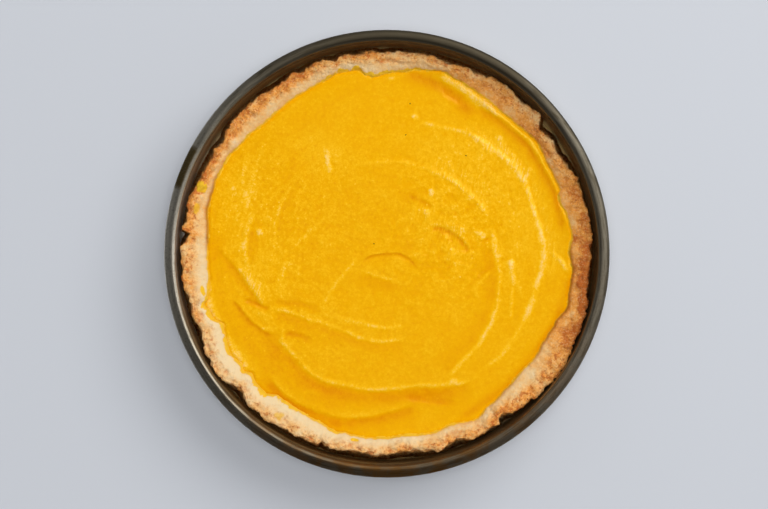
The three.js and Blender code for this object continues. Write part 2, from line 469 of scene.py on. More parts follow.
class Number:
    """A number in a shader, with arithmetic that adds Math nodes."""

    def __init__(self, graph: Graph, socket: Socket) -> None:
        """Wraps a socket.

        Args:
            graph: the tree that the socket is in.
            socket: the output socket.
        """
        self.graph = graph
        self.socket = socket

    def _math(self, operation: str, *values: object, clamp: bool = False) -> "Number":
        """Adds a Math node.

        Args:
            operation: what it works out.
            values: what it works on, in the order of its sockets.
            clamp: whether the result is kept between 0 and 1.

        Returns:
            The result.
        """
        settings = {"operation": operation, "use_clamp": clamp}
        sockets = {f"s{number}": value for number, value in enumerate(values)}
        return Number(self.graph, self.graph.node("Math", settings, **sockets).outputs[0])

    def __add__(self, other: object) -> "Number":
        """Sum."""
        return self._math("ADD", self, other)

    __radd__ = __add__

    def __sub__(self, other: object) -> "Number":
        """Difference."""
        return self._math("SUBTRACT", self, other)

    def __rsub__(self, other: object) -> "Number":
        """Difference, the other way round."""
        return self._math("SUBTRACT", other, self)

    def __mul__(self, other: object) -> "Number":
        """Product."""
        return self._math("MULTIPLY", self, other)

    __rmul__ = __mul__

    def __truediv__(self, other: object) -> "Number":
        """Quotient."""
        return self._math("DIVIDE", self, other)

    def __pow__(self, other: object) -> "Number":
        """Power."""
        return self._math("POWER", self, other)

    def clamped(self) -> "Number":
        """Kept between 0 and 1."""
        return self._math("ADD", self, 0.0, clamp=True)

    def rising(self, low: float, high: float) -> "Number":
        """Rises smoothly from 0 at low to 1 at high, or falls where low is the higher."""
        node = self.graph.node(
            "MapRange", {"interpolation_type": "SMOOTHSTEP"}, s0=self, s1=low, s2=high
        )
        return Number(self.graph, node.outputs[0])


# ---------------------------------------------------------------- finishes


@dataclass(frozen=True)
class DarkSteel:
    """Dark satin bakeware, turned in rings, with a baked-on stain and a brown tint, and with
    painted shade, painted light and a painted reflection of the crust.
    """

    bare: Colour = (0.325, 0.295, 0.235)
    tint: Colour = (0.24, 0.125, 0.04)
    # The next two colours are painted shade, on the bare steel and on the tinted steel.
    dark: Colour = (0.088, 0.072, 0.046)
    tinted_shade: Colour = (0.14, 0.062, 0.012)
    stain: Colour = (0.10, 0.07, 0.025)
    # The next colour is a painted reflection of the crust on the inner wall, the one after it
    # painted light on the side toward the key.
    film: Colour = (0.62, 0.42, 0.15)
    clean: Colour = (0.62, 0.58, 0.50)
    soot: Colour = (0.09, 0.05, 0.02)
    grime: Colour = (0.10, 0.085, 0.06)
    roughness: float = 0.34
    across_rings: float = 32.0
    along_rings: float = 2.0

    def material(self) -> bpy.types.Material:
        """Builds the material.

        Returns:
            The material. It reads the attributes "tint", "dark", "stain", "film" and "clean".
        """
        graph = Graph(bpy.data.materials.new("dark_steel"))
        places = graph.places()
        x, y, z = graph.split(places)
        radius = (x * x + y * y) ** 0.5
        # Turned marks: quick changes across the wall, slow ones round it.
        turned = graph.joined(
            radius * self.across_rings + z * self.across_rings,
            x * self.along_rings,
            y * self.along_rings,
        )
        turning = graph.node("TexNoise", vector=turned, scale=40.0, detail=4.0)
        rings = Number(graph, turning.outputs[0])
        smudges = graph.noise(places, size_mm=14.0, detail=4.0)
        specks = graph.noise(places, size_mm=1.1, detail=3.0)
        tint = (graph.mark("tint") * (0.3 + smudges.rising(0.4, 0.6) * 0.8)).clamped()
        stain = (graph.mark("stain") * (0.75 + specks * 0.5)).clamped()
        # Painted light: on the side toward the key the rim is painted a lighter grey.
        clean = graph.mark("clean")
        colour = graph.blend(clean * 0.6, self.bare, self.clean)
        colour = graph.blend(tint * 0.8, colour, self.tint)
        # Painted reflection: the inner wall is a matt brown as if it mirrored the crust, grey on
        # the side toward the key, with the turned rings darker in it.
        film = (graph.mark("film") * (0.7 + smudges * 0.6)).clamped()
        painted_wall_reflection = graph.blend(clean, self.film, self.clean)
        painted_wall_reflection = graph.blend(rings.rising(0.48, 0.6) * 0.4, painted_wall_reflection, self.soot)
        colour = graph.blend(film, colour, painted_wall_reflection)
        # Painted shade: the rim's sides that don't catch the key, the upper inner wall and the wall
        # behind the crust's edge are darkened, browner where the steel is tinted.
        shade_amount = graph.mark("dark")
        dark = shade_amount * 0.85 + (rings.rising(0.5, 0.62) - 0.3) * 0.25
        colour = graph.blend(dark.clamped(), colour, graph.blend(tint, self.dark, self.tinted_shade))
        colour = graph.blend(stain, colour, self.stain)
        colour = graph.blend(specks.rising(0.5, 0.7) * 0.4, colour, self.grime)
        rough = self.roughness + (rings - 0.5) * 0.16 + (smudges - 0.5) * 0.12
        rough = rough + stain * 0.2 + shade_amount * 0.16
        return graph.finish(
            base_color=colour, metallic=0.95 - film * 0.8, roughness=rough, anisotropic=0.5,
            normal=graph.bump(rings, depth_mm=0.03, strength=0.5),
        )


@dataclass(frozen=True)
class BakedCrust:
    """Shortcrust: pale cream inside, tan and toasted along the crest, with brown specks, and with
    painted shade in its hollows and in the crevice beside the filling.
    """

    cream: Colour = (0.93, 0.715, 0.42)
    straw: Colour = (0.95, 0.585, 0.24)
    golden: Colour = (0.945, 0.415, 0.085)
    brown: Colour = (0.60, 0.165, 0.03)
    burnt: Colour = (0.25, 0.05, 0.01)
    crumbs: Colour = (0.97, 0.72, 0.36)
    puree: Colour = (1.0, 0.60, 0.035)
    film: Colour = (0.96, 0.555, 0.02)
    shade: Colour = (0.45, 0.13, 0.01)
    roughness: float = 0.75

    def material(self) -> bpy.types.Material:
        """Builds the material.

        Returns:
            The material. It reads "toast", "crusty", "smear", "hollow" and "crevice".
        """
        graph = Graph(bpy.data.materials.new("baked_crust"))
        places = graph.places()
        broad = graph.noise(places, size_mm=7.0, detail=3.0)
        crumb = graph.noise(places, size_mm=1.6, detail=4.0)
        grain = graph.noise(places, size_mm=0.5, detail=3.0)
        toast = graph.mark("toast")
        crusty = graph.mark("crusty")
        uneven = 0.25 + toast.rising(-0.1, 0.5) * 0.75
        heat = toast + ((broad - 0.5) * 0.9 + (crumb - 0.5) * 0.6) * uneven
        stops = [(0.0, self.cream), (0.25, self.straw), (0.55, self.golden), (0.95, self.brown)]
        colour = graph.node("ValToRGB", {"stops": stops}, s0=heat).outputs[0]
        # Toasted blotches sit on the lumps, with a few dark crumbs among them.
        blotch = graph.noise(places, size_mm=2.7, detail=3.0)
        blotches = blotch.rising(0.5, 0.66) * broad.rising(0.4, 0.6) * crusty
        colour = graph.blend(blotches * 0.75, colour, self.brown)
        specks = blotch.rising(0.6, 0.7) * crumb.rising(0.5, 0.62) * crusty
        colour = graph.blend(specks * 0.8, colour, self.burnt)
        # Painted shade: the deepest hollows between the crags on the crest are darkened brown.
        colour = graph.blend((graph.mark("hollow") * 0.6).clamped(), colour, self.brown)
        grit = graph.noise(places, size_mm=1.0, detail=2.0)
        browned = toast.rising(0.0, 0.5) * (0.2 + crusty * 0.8)
        dots = graph.noise(places, size_mm=2.6, detail=2.0).rising(0.56, 0.63)
        colour = graph.blend(grit.rising(0.47, 0.36) * 0.3, colour, self.crumbs)
        colour = graph.blend(grit.rising(0.53, 0.64) * browned * 0.35, colour, self.brown)
        colour = graph.blend(dots * browned * 0.85, colour, self.brown)
        smear = (graph.mark("smear") * (0.7 + grain * 0.6)).clamped()
        colour = graph.blend((smear * 2.0).clamped(), colour, self.film)
        colour = graph.blend((smear * 2.0 - 1.0).clamped(), colour, self.puree)
        # Painted shade in the crevice beside the filling.
        colour = graph.blend(graph.mark("crevice"), colour, self.shade)
        height = crumb * 0.6 + grain * 0.4
        return graph.finish(
            base_color=colour, roughness=self.roughness - smear * 0.25,
            specular_ior_level=0.15, normal=graph.bump(height, depth_mm=1.4, strength=1.0),
        )


@dataclass(frozen=True)
class Puree:
    """Moist pumpkin puree: saturated yellow, with a soft shine, painted shade in the hollows and
    painted highlights on the crests.
    """

    body: Colour = (0.86, 0.407, 0.0004)
    # The next three colours are painted: shade in the hollows, then highlight and stronger glint on
    # the crests, grains and streaks.
    deep: Colour = (0.765, 0.26, 0.0003)
    glow: Colour = (0.92, 0.50, 0.01)
    pale: Colour = (0.97, 0.635, 0.19)
    spice: Colour = (0.10, 0.035, 0.003)
    gloss: tuple[float, float, float, float] = (1.0, 0.8, 0.15, 1.0)
    roughness: float = 0.1
    along_streaks: float = 0.011
    along_strokes: float = 0.17
    glowing: float = 0.3

    def material(self) -> bpy.types.Material:
        """Builds the material.

        Returns:
            The material. It reads the attributes "crest", "torn", "mottle" and "spice".
        """
        graph = Graph(bpy.data.materials.new("pumpkin_puree"))
        places = graph.places()
        x, y, z = graph.split(places)
        radius = (x * x + y * y + 1e-6) ** 0.5
        # The knife went round: the streaks are narrow across its way and long along it.
        stretch = self.along_streaks
        turned = graph.joined(radius, x / radius * stretch, y / radius * stretch)
        streaks = graph.noise(turned, size_mm=1.9, detail=4.0)
        # Where it tore, fine strokes lie side by side.
        lean_x, lean_y = math.cos(TEAR_WAY), math.sin(TEAR_WAY)
        along = (x * lean_x + y * lean_y) * self.along_strokes
        strokes = graph.joined(x * lean_y - y * lean_x, along, 0.0)
        hatch = graph.noise(strokes, size_mm=1.1, detail=2.0)
        patches = graph.noise(places, size_mm=12.0, detail=3.0)
        pores = graph.noise(places, size_mm=1.0, detail=1.0)
        grain = graph.noise(places, size_mm=2.2, detail=3.0)
        # Painted glints in small round spots, only in some patches.
        glint_spots = graph.spots(places, pitch_mm=4.2).rising(0.17, 0.06)
        glint_spots = glint_spots * patches.rising(0.42, 0.6)
        crest = graph.mark("crest")
        torn = graph.mark("torn")
        mottle = graph.mark("mottle")
        comb = hatch.rising(0.44, 0.6)
        # The grain and streaks of the puree go into the tone, which takes painted glints where it
        # rises and painted shade where it falls.
        speckle = (pores - 0.5) * (0.46 + mottle * 0.3) + (grain - 0.5) * (0.5 + mottle * 0.6)
        speckle = speckle - grain.rising(0.4, 0.3) * (0.08 + mottle * 0.25)
        tone = crest + speckle + (streaks - 0.5) * mottle * 0.8
        gritty = 0.8 + pores.rising(0.38, 0.62) * 0.4
        # Painted highlights on the crests, broken up where the puree is torn.
        shine = tone.clamped() * (1.0 - torn * (1.0 - comb) * 0.6) * gritty
        high = (shine + mottle * glint_spots * 0.6 + torn * comb * 0.16).clamped()
        # Painted shade: the hollows turn a deeper orange.
        colour = graph.blend((tone * -1.0).clamped(), self.body, self.deep)
        # Painted highlights: crests, glints and torn hatching turn paler.
        paling = (high - self.glowing) / (1.0 - self.glowing)
        colour = graph.blend((high / self.glowing).clamped(), colour, self.glow)
        colour = graph.blend(paling.clamped(), colour, self.pale)
        colour = graph.blend(graph.mark("spice"), colour, self.spice)
        rough = self.roughness + (patches - 0.5) * 0.06 + (grain - 0.5) * 0.06
        height = pores * (0.12 + mottle * 0.2) + streaks * 0.15 + hatch * torn * 1.1
        return graph.finish(
            base_color=colour, roughness=rough, specular_ior_level=0.5,
            specular_tint=self.gloss, normal=graph.bump(height, depth_mm=0.4, strength=0.7),
        )


@dataclass(frozen=True)
class PaleTable:
    """A plain pale blue-grey table top."""

    colour: Colour = (0.565, 0.59, 0.64)

    def material(self) -> bpy.types.Material:
        """Builds the material."""
        graph = Graph(bpy.data.materials.new("pale_table"))
        return graph.finish(base_color=self.colour, roughness=0.8, specular_ior_level=0.2)


# ---------------------------------------------------------------- tin


@dataclass(frozen=True)
class TinSizes:
    """Sizes of the tin in millimetres, and directions and spreads of its marks in degrees."""

    radius: float = node_reach("tin")
    height: float = node_top("tin")
    sheet: float = 1.0
    rim_width: float = 6.35
    roll: float = 2.3
    shoulder: float = 4.2
    shoulder_drop: float = 1.9
    bend: float = 0.35
    bevel: float = 1.4
    bevel_tilt: float = 22.0
    crown_drop: float = 0.05
    draft: float = 0.2
    corner: float = 4.0
    floor_rings: tuple[float, ...] = (0.0, 40.0, 80.0, 110.0)
    dent: float = 0.12
    dent_size: float = 34.0
    squeeze: float = 0.33
    spread: float = 0.4
    lopsided: float = 0.27
    lopsided_way: float = 325.0
    stain_way: float = 156.8
    stain_reach: float = 6.0
    tint: tuple[float, float] = (275.0, 48.0)
    # Where the side toward the key is painted lighter, and where painted shade darkens the inner
    # wall behind the crust's edge.
    clean: tuple[float, float] = (176.0, 24.0)
    shaded: tuple[float, float] = (303.0, 55.0)
    steps: int = 128
    cuts: int = 3


# How much painted shade darkens the rim, by direction, on the sides where the turned steel doesn't
# catch the key.
RIM_PAINTED_SHADE = (
    (0, 0.75), (15, 0.8), (30, 0.85), (45, 1.1), (60, 1.3), (90, 1.3), (120, 1.1), (135, 0.6),
    (146, 0.0), (180, 0.0), (210, 0.2), (225, 0.35), (240, 0.8), (255, 0.95), (270, 1.0),
    (300, 0.9), (330, 0.6), (345, 0.75),
)


class Tin:
    """A pressed steel tin whose wall bends outwards into a rolled rim."""

    name = "baking_tin"

    def __init__(self, sizes: TinSizes) -> None:
        """Takes the tin's sizes."""
        self.sizes = sizes

    @staticmethod
    def arc(
        middle: tuple[float, float], radius: float, start: float, end: float, steps: int,
        squash: float = 1.0,
    ) -> Section:
        """Points of an arc of the section.

        Args:
            middle: radius and height of the arc's middle.
            radius: the arc's radius.
            start: the angle of its first point in degrees.
            end: the angle of its last point in degrees.
            steps: how many steps it takes.
            squash: its height against its width.

        Returns:
            Radius and height of each point.
        """
        turns = [math.radians(start + (end - start) * i / steps) for i in range(steps + 1)]
        return [
            (middle[0] + radius * math.cos(t), middle[1] + radius * squash * math.sin(t))
            for t in turns
        ]

    def section(self) -> Section:
        """Works out the section, from the middle of the underside to the middle of the floor.

        Returns:
            Radius and height of each point.
        """
        size = self.sizes
        inside = size.radius - size.rim_width
        foot = inside - size.draft
        corner_in = size.corner - size.sheet
        crown = size.height - size.crown_drop
        start = 90.0 + size.bevel_tilt
        bevel_foot = size.bend * (1 + math.cos(math.radians(start)))
        fall = (size.bevel - bevel_foot) * math.tan(math.radians(size.bevel_tilt))
        bend = (inside + size.bend, crown - fall - size.bend * math.sin(math.radians(start)))
        outside = foot + size.sheet
        wall_top = size.height - 1.8 * size.roll
        wall = [
            (outside + size.draft * part, size.corner + (wall_top - size.corner) * part)
            for part in (0.25, 0.5, 0.75, 1.0)
        ]
        inner_wall = [
            (inside - size.draft * part, bend[1] + (size.corner - bend[1]) * part)
            for part in (0.2, 0.4, 0.6, 0.8)
        ]
        bevel = [
            (inside + size.bevel - (size.bevel - bevel_foot) * part, crown - fall * part)
            for part in (0.0, 0.08, 0.5, 0.92)
        ]
        roll = (size.radius - size.roll, size.height - size.roll)
        shoulder = (size.radius - size.shoulder, size.height - size.shoulder_drop)
        squash = size.shoulder_drop / size.shoulder
        return [
            *[(radius, 0.0) for radius in size.floor_rings],
            *self.arc((outside - size.corner, size.corner), size.corner, -90, 0, 6),
            *wall,
            *self.arc(roll, size.roll, -90, 0, 10),
            *self.arc(shoulder, size.shoulder, 0, 90, 14, squash),
            *bevel,
            *self.arc(bend, size.bend, start, 180, 5),
            *inner_wall,
            *self.arc((foot - corner_in, size.corner), corner_in, 0, -90, 6),
            *[(radius, size.sheet) for radius in reversed(size.floor_rings)],
        ]

    def inwards(self, places: Array, angles: Array, radius: Array, outwards: Array) -> Array:
        """Works out how far the rim is out of true: dented, and a little out of round.

        Args:
            places: places of the vertices.
            angles: their directions.
            radius: their radius.
            outwards: the way out from the axis at each of them.

        Returns:
            How far each vertex of the rim leans inwards.
        """
        size = self.sizes
        dents = Unevenness(5).at(places, size.dent_size)
        inwards = size.dent * (1 + dents) + size.squeeze * outwards[:, 0] ** 2
        inwards -= size.spread * outwards[:, 1] ** 2
        outermost = smooth_between(radius, size.radius - 4.0, size.radius - 1.0)
        lean = np.cos(np.radians(angles - size.lopsided_way)) * outermost
        inwards -= size.lopsided * lean
        return inwards

    def marks(self, height: Array, angles: Array, radius: Array, top: Array) -> dict[str, Array]:
        """Works out where the steel is stained and tinted, and where it takes painted shade,
        painted light and a painted reflection of the crust.

        Args:
            height: height of each vertex.
            angles: their directions.
            radius: their radius.
            top: how far each belongs to the rim, from 0 to 1.

        Returns:
            A value for each vertex, by the name of its attribute.
        """
        size = self.sizes
        on_rim = smooth_between(radius, size.radius - 4.4, size.radius - 4.1) * top
        away = -np.abs(degrees_from(angles, size.stain_way))
        stain = smooth_between(away, -size.stain_reach, 0.6 - size.stain_reach) * on_rim
        wall = size.rim_width - size.radius
        inside = smooth_between(-radius, wall - 0.9, wall - 0.4)
        # Painted light on the side toward the key.
        clean = bell_round(angles, *size.clean)
        # Painted shade on the inner wall behind the crust's edge.
        shaded = bell_round(angles, *size.shaded)
        # Painted shade on the upper part of the inner wall, less on the side toward the key.
        upper_wall_shade = smooth_between(height, size.height - 15, size.height - 7)
        upper_wall_shade *= inside * (1.15 - 0.8 * clean)
        # Painted shade on the rim's sides that don't catch the key.
        shade_amount = around_values(RIM_PAINTED_SHADE, angles)
        return {
            "stain": stain,
            "tint": bell_round(angles, *size.tint),
            "dark": np.maximum.reduce([shade_amount * top, upper_wall_shade, shaded * inside]),
            # Painted reflection of the crust on the inner wall, weaker near its top.
            "film": inside * (height > 0.5 * size.sheet) * (1 - 0.6 * upper_wall_shade),
            "clean": clean,
        }

    def build(self) -> bpy.types.Object:
        """Builds the tin.

        Returns:
            The tin, with its finish.
        """
        size = self.sizes
        mesh = spun(self.section(), size.steps, size.cuts)
        places = places_of(mesh)
        x, y, height = places.T
        angles = np.degrees(np.arctan2(y, x))
        radius = np.hypot(x, y)
        top = smooth_between(height, size.height - 5, size.height - 1)
        outwards = places[:, :2] / np.maximum(radius, 1.0)[:, None]
        inwards = self.inwards(places, angles, radius, outwards)
        places[:, :2] -= outwards * (inwards * top)[:, None]
        move_to(mesh, places)
        tin = to_object(mesh, self.name, self.marks(height, angles, radius, top))
        tin.data.materials.append(DarkSteel().material())
        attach(tin, "root")
        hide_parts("tin")
        return tin


# ---------------------------------------------------------------- pastry case

CRUST_EDGE = Outline(
    radius=118.0,
    turns=(
        (0, 0.0), (5, 1.5), (20, 0.9), (28, -1.4), (30, -2.9), (35, -1.5), (39, -3.5), (42, 2.9),
        (48, 0.0), (53, 1.1), (58, 2.0), (61, -0.3), (72, -0.9), (79, 0.6), (92, -1.2), (94, 0.9),
        (99, -0.8), (102, 0.6), (105, -0.9), (110, 0.6), (115, -1.5), (117, 0.3), (123, -1.2),
        (130, 0.3), (139, 1.2), (142, 0.0), (145, -2.3), (150, -1.2), (158, -1.0), (165, 2.1),
        (171, 1.2), (173.2, 3.0), (174.3, -2.2), (176, -0.5), (178, 2.1), (182, 0.9), (187, 2.9),
        (194, 0.0), (197, 1.2), (201.5, -0.9), (205, 0.6), (209, 3.2), (211, 2.6), (214, 4.4),
        (217, 3.2), (223, -1.2), (228, 2.3), (230, 1.7), (234, 2.3), (240, 0.3), (250, 0.6),
        (250.9, -1.8), (254, 0.0), (257, -0.8), (261, -1.2), (267, 0.0), (274, -1.8), (285, 0.0),
        (290.5, -2.1), (295, -0.3), (303.5, 0.3), (304.2, -2.6), (310, 0.3), (320, 3.2),
        (325, 4.1), (330, 3.8), (336, 2.2), (338.5, 3.2), (341, 2.0), (345, 2.6), (351, 0.0),
    ),
    shrunk=(
        (0, -0.3), (20, 0.3), (40, 0.0), (60, 0.0), (83, 0.5), (100, 0.3), (115, 0.3), (130, 0.9),
        (145, 0.3), (157, 0.4), (175, 1.0), (190, 0.5), (200, 0.4), (212, 0.7), (225, 0.3),
        (236, 0.5), (250, -0.1), (270, 0.1), (281, 0.2), (289, -0.6), (305, -0.3), (325, 0.1),
        (345, -0.4),
    ),
    ragged=0.3,
    seed=3,
)

FILLING_EDGE = Outline(
    radius=106.7,
    turns=(
        (0, -0.9), (6, 1.2), (10, 0.8), (17, -1.2), (19, -0.9), (20, 0.9), (26, 0.3), (30, 0.0),
        (37, 1.7), (44, 0.3), (58, -0.2), (63, 1.2), (68, 2.7), (72, 4.3), (80, 3.0), (86, 0.3),
        (94, -2.0), (96.5, -1.0), (98.5, 2.7), (105, 2.6), (110, 0.9), (120, -0.6), (133, -1.7),
        (140, -0.3), (150, 1.8), (157, 1.9), (160, 0.9), (165, 0.9), (174, -1.9), (187, -1.4),
        (191, 0.0), (194, 1.5), (195.7, 4.4), (198, 2.7), (200.5, 2.2), (203.5, -2.0),
        (206, -0.3), (213, 2.1), (217, 0.9), (219.5, 2.0), (222, -0.5), (225, 1.5), (229, 1.5),
        (233, -2.0), (239, -2.0), (247, -0.5), (254.5, 1.8), (257, 0.5), (262, 1.2), (270, 0.9),
        (275, -0.1), (285, 1.2), (290, 0.0), (298.5, 2.9), (304, 0.0), (312, -1.8), (319, -2.6),
        (325, -1.5), (330, -2.3), (338, -0.9), (344, 2.7), (348, 1.2), (355, 1.5), (358, 0.3),
    ),
    shrunk=(
        (5, -0.6), (20, 0.0), (33, -0.9), (45, 0.0), (50, 0.4), (58, -0.6), (70, 0.0), (80, 0.6),
        (95, 1.1), (105, 0.6), (120, 0.8), (132, 1.1), (140, 0.5), (155, 0.2), (170, 0.1),
        (180, 0.7), (187, 1.0), (205, 1.0), (213, 0.7), (220, 1.0), (230, 0.4), (240, 0.1),
        (250, 0.8), (260, 0.0), (290, 0.0), (310, -0.3), (335, -0.5),
    ),
    ragged=0.22,
    seed=4,
)


# How brown the crust is on its inner slope and on its crest, by direction.
INNER_TOAST = (
    (0, 0.62), (20, 0.44), (40, 0.56), (60, 0.5), (80, 0.18), (100, 0.12), (130, 0.24), (155, 0.24),
    (170, 0.26), (180, 0.08), (205, -0.05), (240, 0.0), (270, 0.04), (300, 0.22), (320, 0.2),
    (340, 0.6),
)
OUTER_TOAST = (
    (0, 0.9), (20, 0.5), (40, 0.42), (60, 0.36), (80, 0.32), (95, 0.42), (110, 0.54), (130, 0.6),
    (150, 0.6), (170, 0.58), (180, 0.4), (210, 0.22), (240, 0.28), (270, 0.32), (300, 0.42),
    (320, 0.5), (340, 0.9),
)


@dataclass(frozen=True)
class CrustSizes:
    """Sizes of the pastry case in millimetres."""

    under: float = node_foot("crust")
    base: float = 5.0
    crest: float = node_top("tin") - 13.2
    brim: float = node_top("tin") - 18.5
    step: float = 1.2
    foot: float = 119.6
    stand_off: float = 1.5
    corner: float = 5.0
    tuck: float = 0.5
    lean: float = 3.6
    least_run: float = 4.0
    lump: float = 0.8
    lump_size: float = 16.0
    crag: float = 0.5
    crag_size: float = 3.6
    fold_size: float = 4.5
    dab_height: float = 0.9
    degree_length: float = 2.06
    steps: int = 1200
    cuts: int = 7


@dataclass(frozen=True)
class Smear:
    """A thin film of filling on the crust: its place, its size and how thick it is."""

    angle: float
    radius: float
    span: float
    width: float
    cover: float


# How much painted shade darkens the crevice between the crust and the filling, by direction.
CREVICE = (
    (0, 0.6), (6, 0.0), (30, 0.2), (45, 0.0), (150, 0.1), (163, 0.8), (175, 0.8), (181, 0.1),
    (300, 0.1), (312, 0.5), (322, 0.3), (332, 0.8), (345, 0.9),
)
DAB = Smear(160.0, 114.0, 1.6, 2.6, 1.0)
SMEARS = (
    DAB,
    Smear(166.5, 113.6, 1.6, 1.6, 0.35),
    Smear(191.5, 109.3, 1.4, 1.0, 0.8),
    Smear(236.5, 113.4, 1.2, 2.4, 0.3),
    Smear(260.2, 110.2, 1.2, 0.8, 0.75),
)
# How far the filling has wetted the crust past its edge, in millimetres, by direction.
WETTED = (
    (0, 0.2), (60, 0.2), (80, 0.3), (88, 1.1), (104, 1.2), (114, 0.3), (180, 0.3), (192, 0.6),
    (196, 1.2), (204, 1.4), (210, 0.7), (222, 1.0), (230, 1.5), (240, 0.7), (248, 0.2), (255, 0.7),
    (262, 0.3), (300, 0.2),
)


class PastryCase:
    """The shortcrust case: floor, wall, ragged crest and the slope down to the filling."""

    name = "pastry_case"
    # How many steps each stretch between two turning points of the section takes.
    counts = (2, 2, 2, 3, 5, 5, 5, 5, 5, 5, 6, 5, 3, 2, 2, 2, 1, 1)

    def __init__(self, sizes: CrustSizes) -> None:
        """Takes the case's sizes and draws its unevenness.

        Args:
            sizes: its sizes.
        """
        self.sizes = sizes
        self.lumps = Unevenness(21)
        self.crags = Unevenness(22)
        self.tones = Unevenness(23)

    def crest_height(self, angles: Array) -> Array:
        """Works out the height of the crest.

        Args:
            angles: directions in degrees.

        Returns:
            The height in millimetres in each direction.
        """
        ring = on_ring(CRUST_EDGE.radius, angles)
        lumps = self.lumps.layered(ring, self.sizes.lump_size, layers=3, keep=0.6)
        return self.sizes.crest + self.sizes.lump * lumps

    def rows(self, angles: Array) -> list[tuple[Array, Array]]:
        """Works out the turning points of the section, from under the middle outwards, over
        the crest and back to the middle of the floor.

        Args:
            angles: directions in degrees.

        Returns:
            Radius and height of each turning point, in every direction.
        """
        size = self.sizes
        edge = CRUST_EDGE.at(angles)
        inner = FILLING_EDGE.at(angles) - size.tuck
        crest = self.crest_height(angles)
        floor = size.under + size.base
        zero = 0 * edge
        foot = np.minimum(size.foot, edge + size.stand_off)
        run = edge - inner
        ledge = size.brim + size.step
        climb = crest - ledge
        return [
            (zero, zero + size.under),
            (foot - size.corner, zero + size.under),
            (foot - 1.6, zero + size.under + 3.2),
            (foot - 0.4, zero + size.under + 8.0),
            # Up the outside of the wall to its rounded edge.
            ((foot + edge) / 2, crest - 11.0),
            (edge - 0.4, crest - 6.0),
            (edge, crest - 2.4),
            (edge - 0.15, crest - 1.1),
            (edge - 0.8, crest - 0.3),
            (edge - np.minimum(2.4, 0.22 * run), crest),
            # Down the slope to the ledge at the filling's edge.
            (inner + 0.64 * run, ledge + 0.9 * climb),
            (inner + 0.42 * run, ledge + 0.6 * climb),
            (inner + 0.2 * run, ledge + 0.26 * climb),
            (inner + 0.6, zero + size.brim + 0.75 * size.step),
            (inner, zero + size.brim),
            # Down the inside of the wall, behind the filling.
            (inner - 1.2, zero + size.brim - 1.4),
            (inner - size.lean, zero + floor + 3.0),
            (inner - size.lean - 2.4, zero + floor),
            (zero, zero + floor),
        ]

    def skin(self) -> tuple[Mesh, Array, Array, Array]:
        """Spins the case and finds where each of its vertices belongs.

        Returns:
            The mesh, and the direction, radius and height of each vertex.
        """
        steps = self.sizes.steps
        angles = np.arange(steps) * 360.0 / steps
        shape = curve_through(np.array(self.rows(angles)), self.counts)
        section = shape[:, :, 0].copy()
        section[[0, -1], 0] = 0.0
        mesh = spun(section.tolist(), steps // (self.sizes.cuts + 1), self.sizes.cuts)
        row = rows_of(mesh)
        step = np.rint(directions_of(mesh) / 360.0 * steps).astype(int) % steps
        radius, height = shape[row, :, step].T
        radius[(row == 0) | (row == len(shape) - 1)] = 0.0
        return mesh, angles[step], radius, height

    def build(self) -> bpy.types.Object:
        """Builds the case.

        Returns:
            The case, with its finish.
        """
        size = self.sizes
        mesh, around, radius, height = self.skin()
        places = on_ring(radius, around)
        places[:, 2] = height
        outer = CRUST_EDGE.at(around)
        inner = FILLING_EDGE.at(around)
        from_edge = outer - radius
        shown = smooth_between(height, size.brim - 6.0, size.brim - 1.0)
        shown *= smooth_between(radius, 90.0, 100.0)
        on_crest = shown * smooth_between(-from_edge, -9.0, -5.0)
        crags = self.crags.layered(places, size.crag_size, layers=4, keep=0.7)
        along = np.stack([around * size.degree_length, radius * 0.4, height * 0.4], axis=1)
        folds = self.lumps.layered(along, size.fold_size, layers=3)
        lift = size.crag * (on_crest * crags * 1.5 + shown * (0.5 * crags + 0.9 * folds))
        side = smooth_between(-from_edge, -2.0, 0.0)[:, None]
        normal = side * on_ring(1.0, around) + (1 - side) * np.array([0.0, 0.0, 1.0])
        places += normal * lift[:, None]
        places[:, 2] += size.dab_height * self.smear(around, radius, (DAB,))
        move_to(mesh, places)

        run = np.maximum(outer - inner, size.least_run)
        toast = self.toast(places, around, from_edge, run, height - self.crest_height(around))
        wet = self.wetted(around, radius, inner)
        marks = {
            "toast": toast * shown + 0.35 * (1 - shown),
            "smear": np.maximum(self.smear(around, radius, SMEARS), wet) * shown,
            # Painted shade in the deepest hollows of the crags.
            "hollow": np.clip(-crags - 0.55, 0, 1) * on_crest,
            # Painted shade in the crevice beside the filling.
            "crevice": around_values(CREVICE, around) * bell(radius - inner, 0.5, 0.9),
            "crusty": smooth_between(-from_edge / run, -0.75, -0.3),
        }
        case = to_object(mesh, self.name, marks)
        case.data.materials.append(BakedCrust().material())
        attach(case, "root")
        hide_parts("crust")
        return case

    def toast(
        self, places: Array, around: Array, from_edge: Array, run: Array, over_crest: Array
    ) -> Array:
        """Works out how brown the crust is.

        Args:
            places: places of the vertices.
            around: their directions.
            from_edge: how far inside the crust's edge they lie.
            run: how wide the slope is beside each of them.
            over_crest: how high they lie above the crest.

        Returns:
            0 for pale to 1 for toasted, for each vertex.
        """
        outwardness = 1.0 - np.clip(from_edge / run, 0, 1)
        inner = around_values(INNER_TOAST, around)
        outer = around_values(OUTER_TOAST, around)
        heat = inner + (outer - inner) * smooth_between(outwardness, 0.25, 0.8)
        patches = self.tones.layered(places, size=9.0, layers=3, keep=0.6)
        outside = smooth_between(-over_crest, 2.0, 12.0) * (from_edge < 2.0)
        return np.clip(heat * (1 + 0.45 * patches) + 0.2 * outside, 0, 1.2)

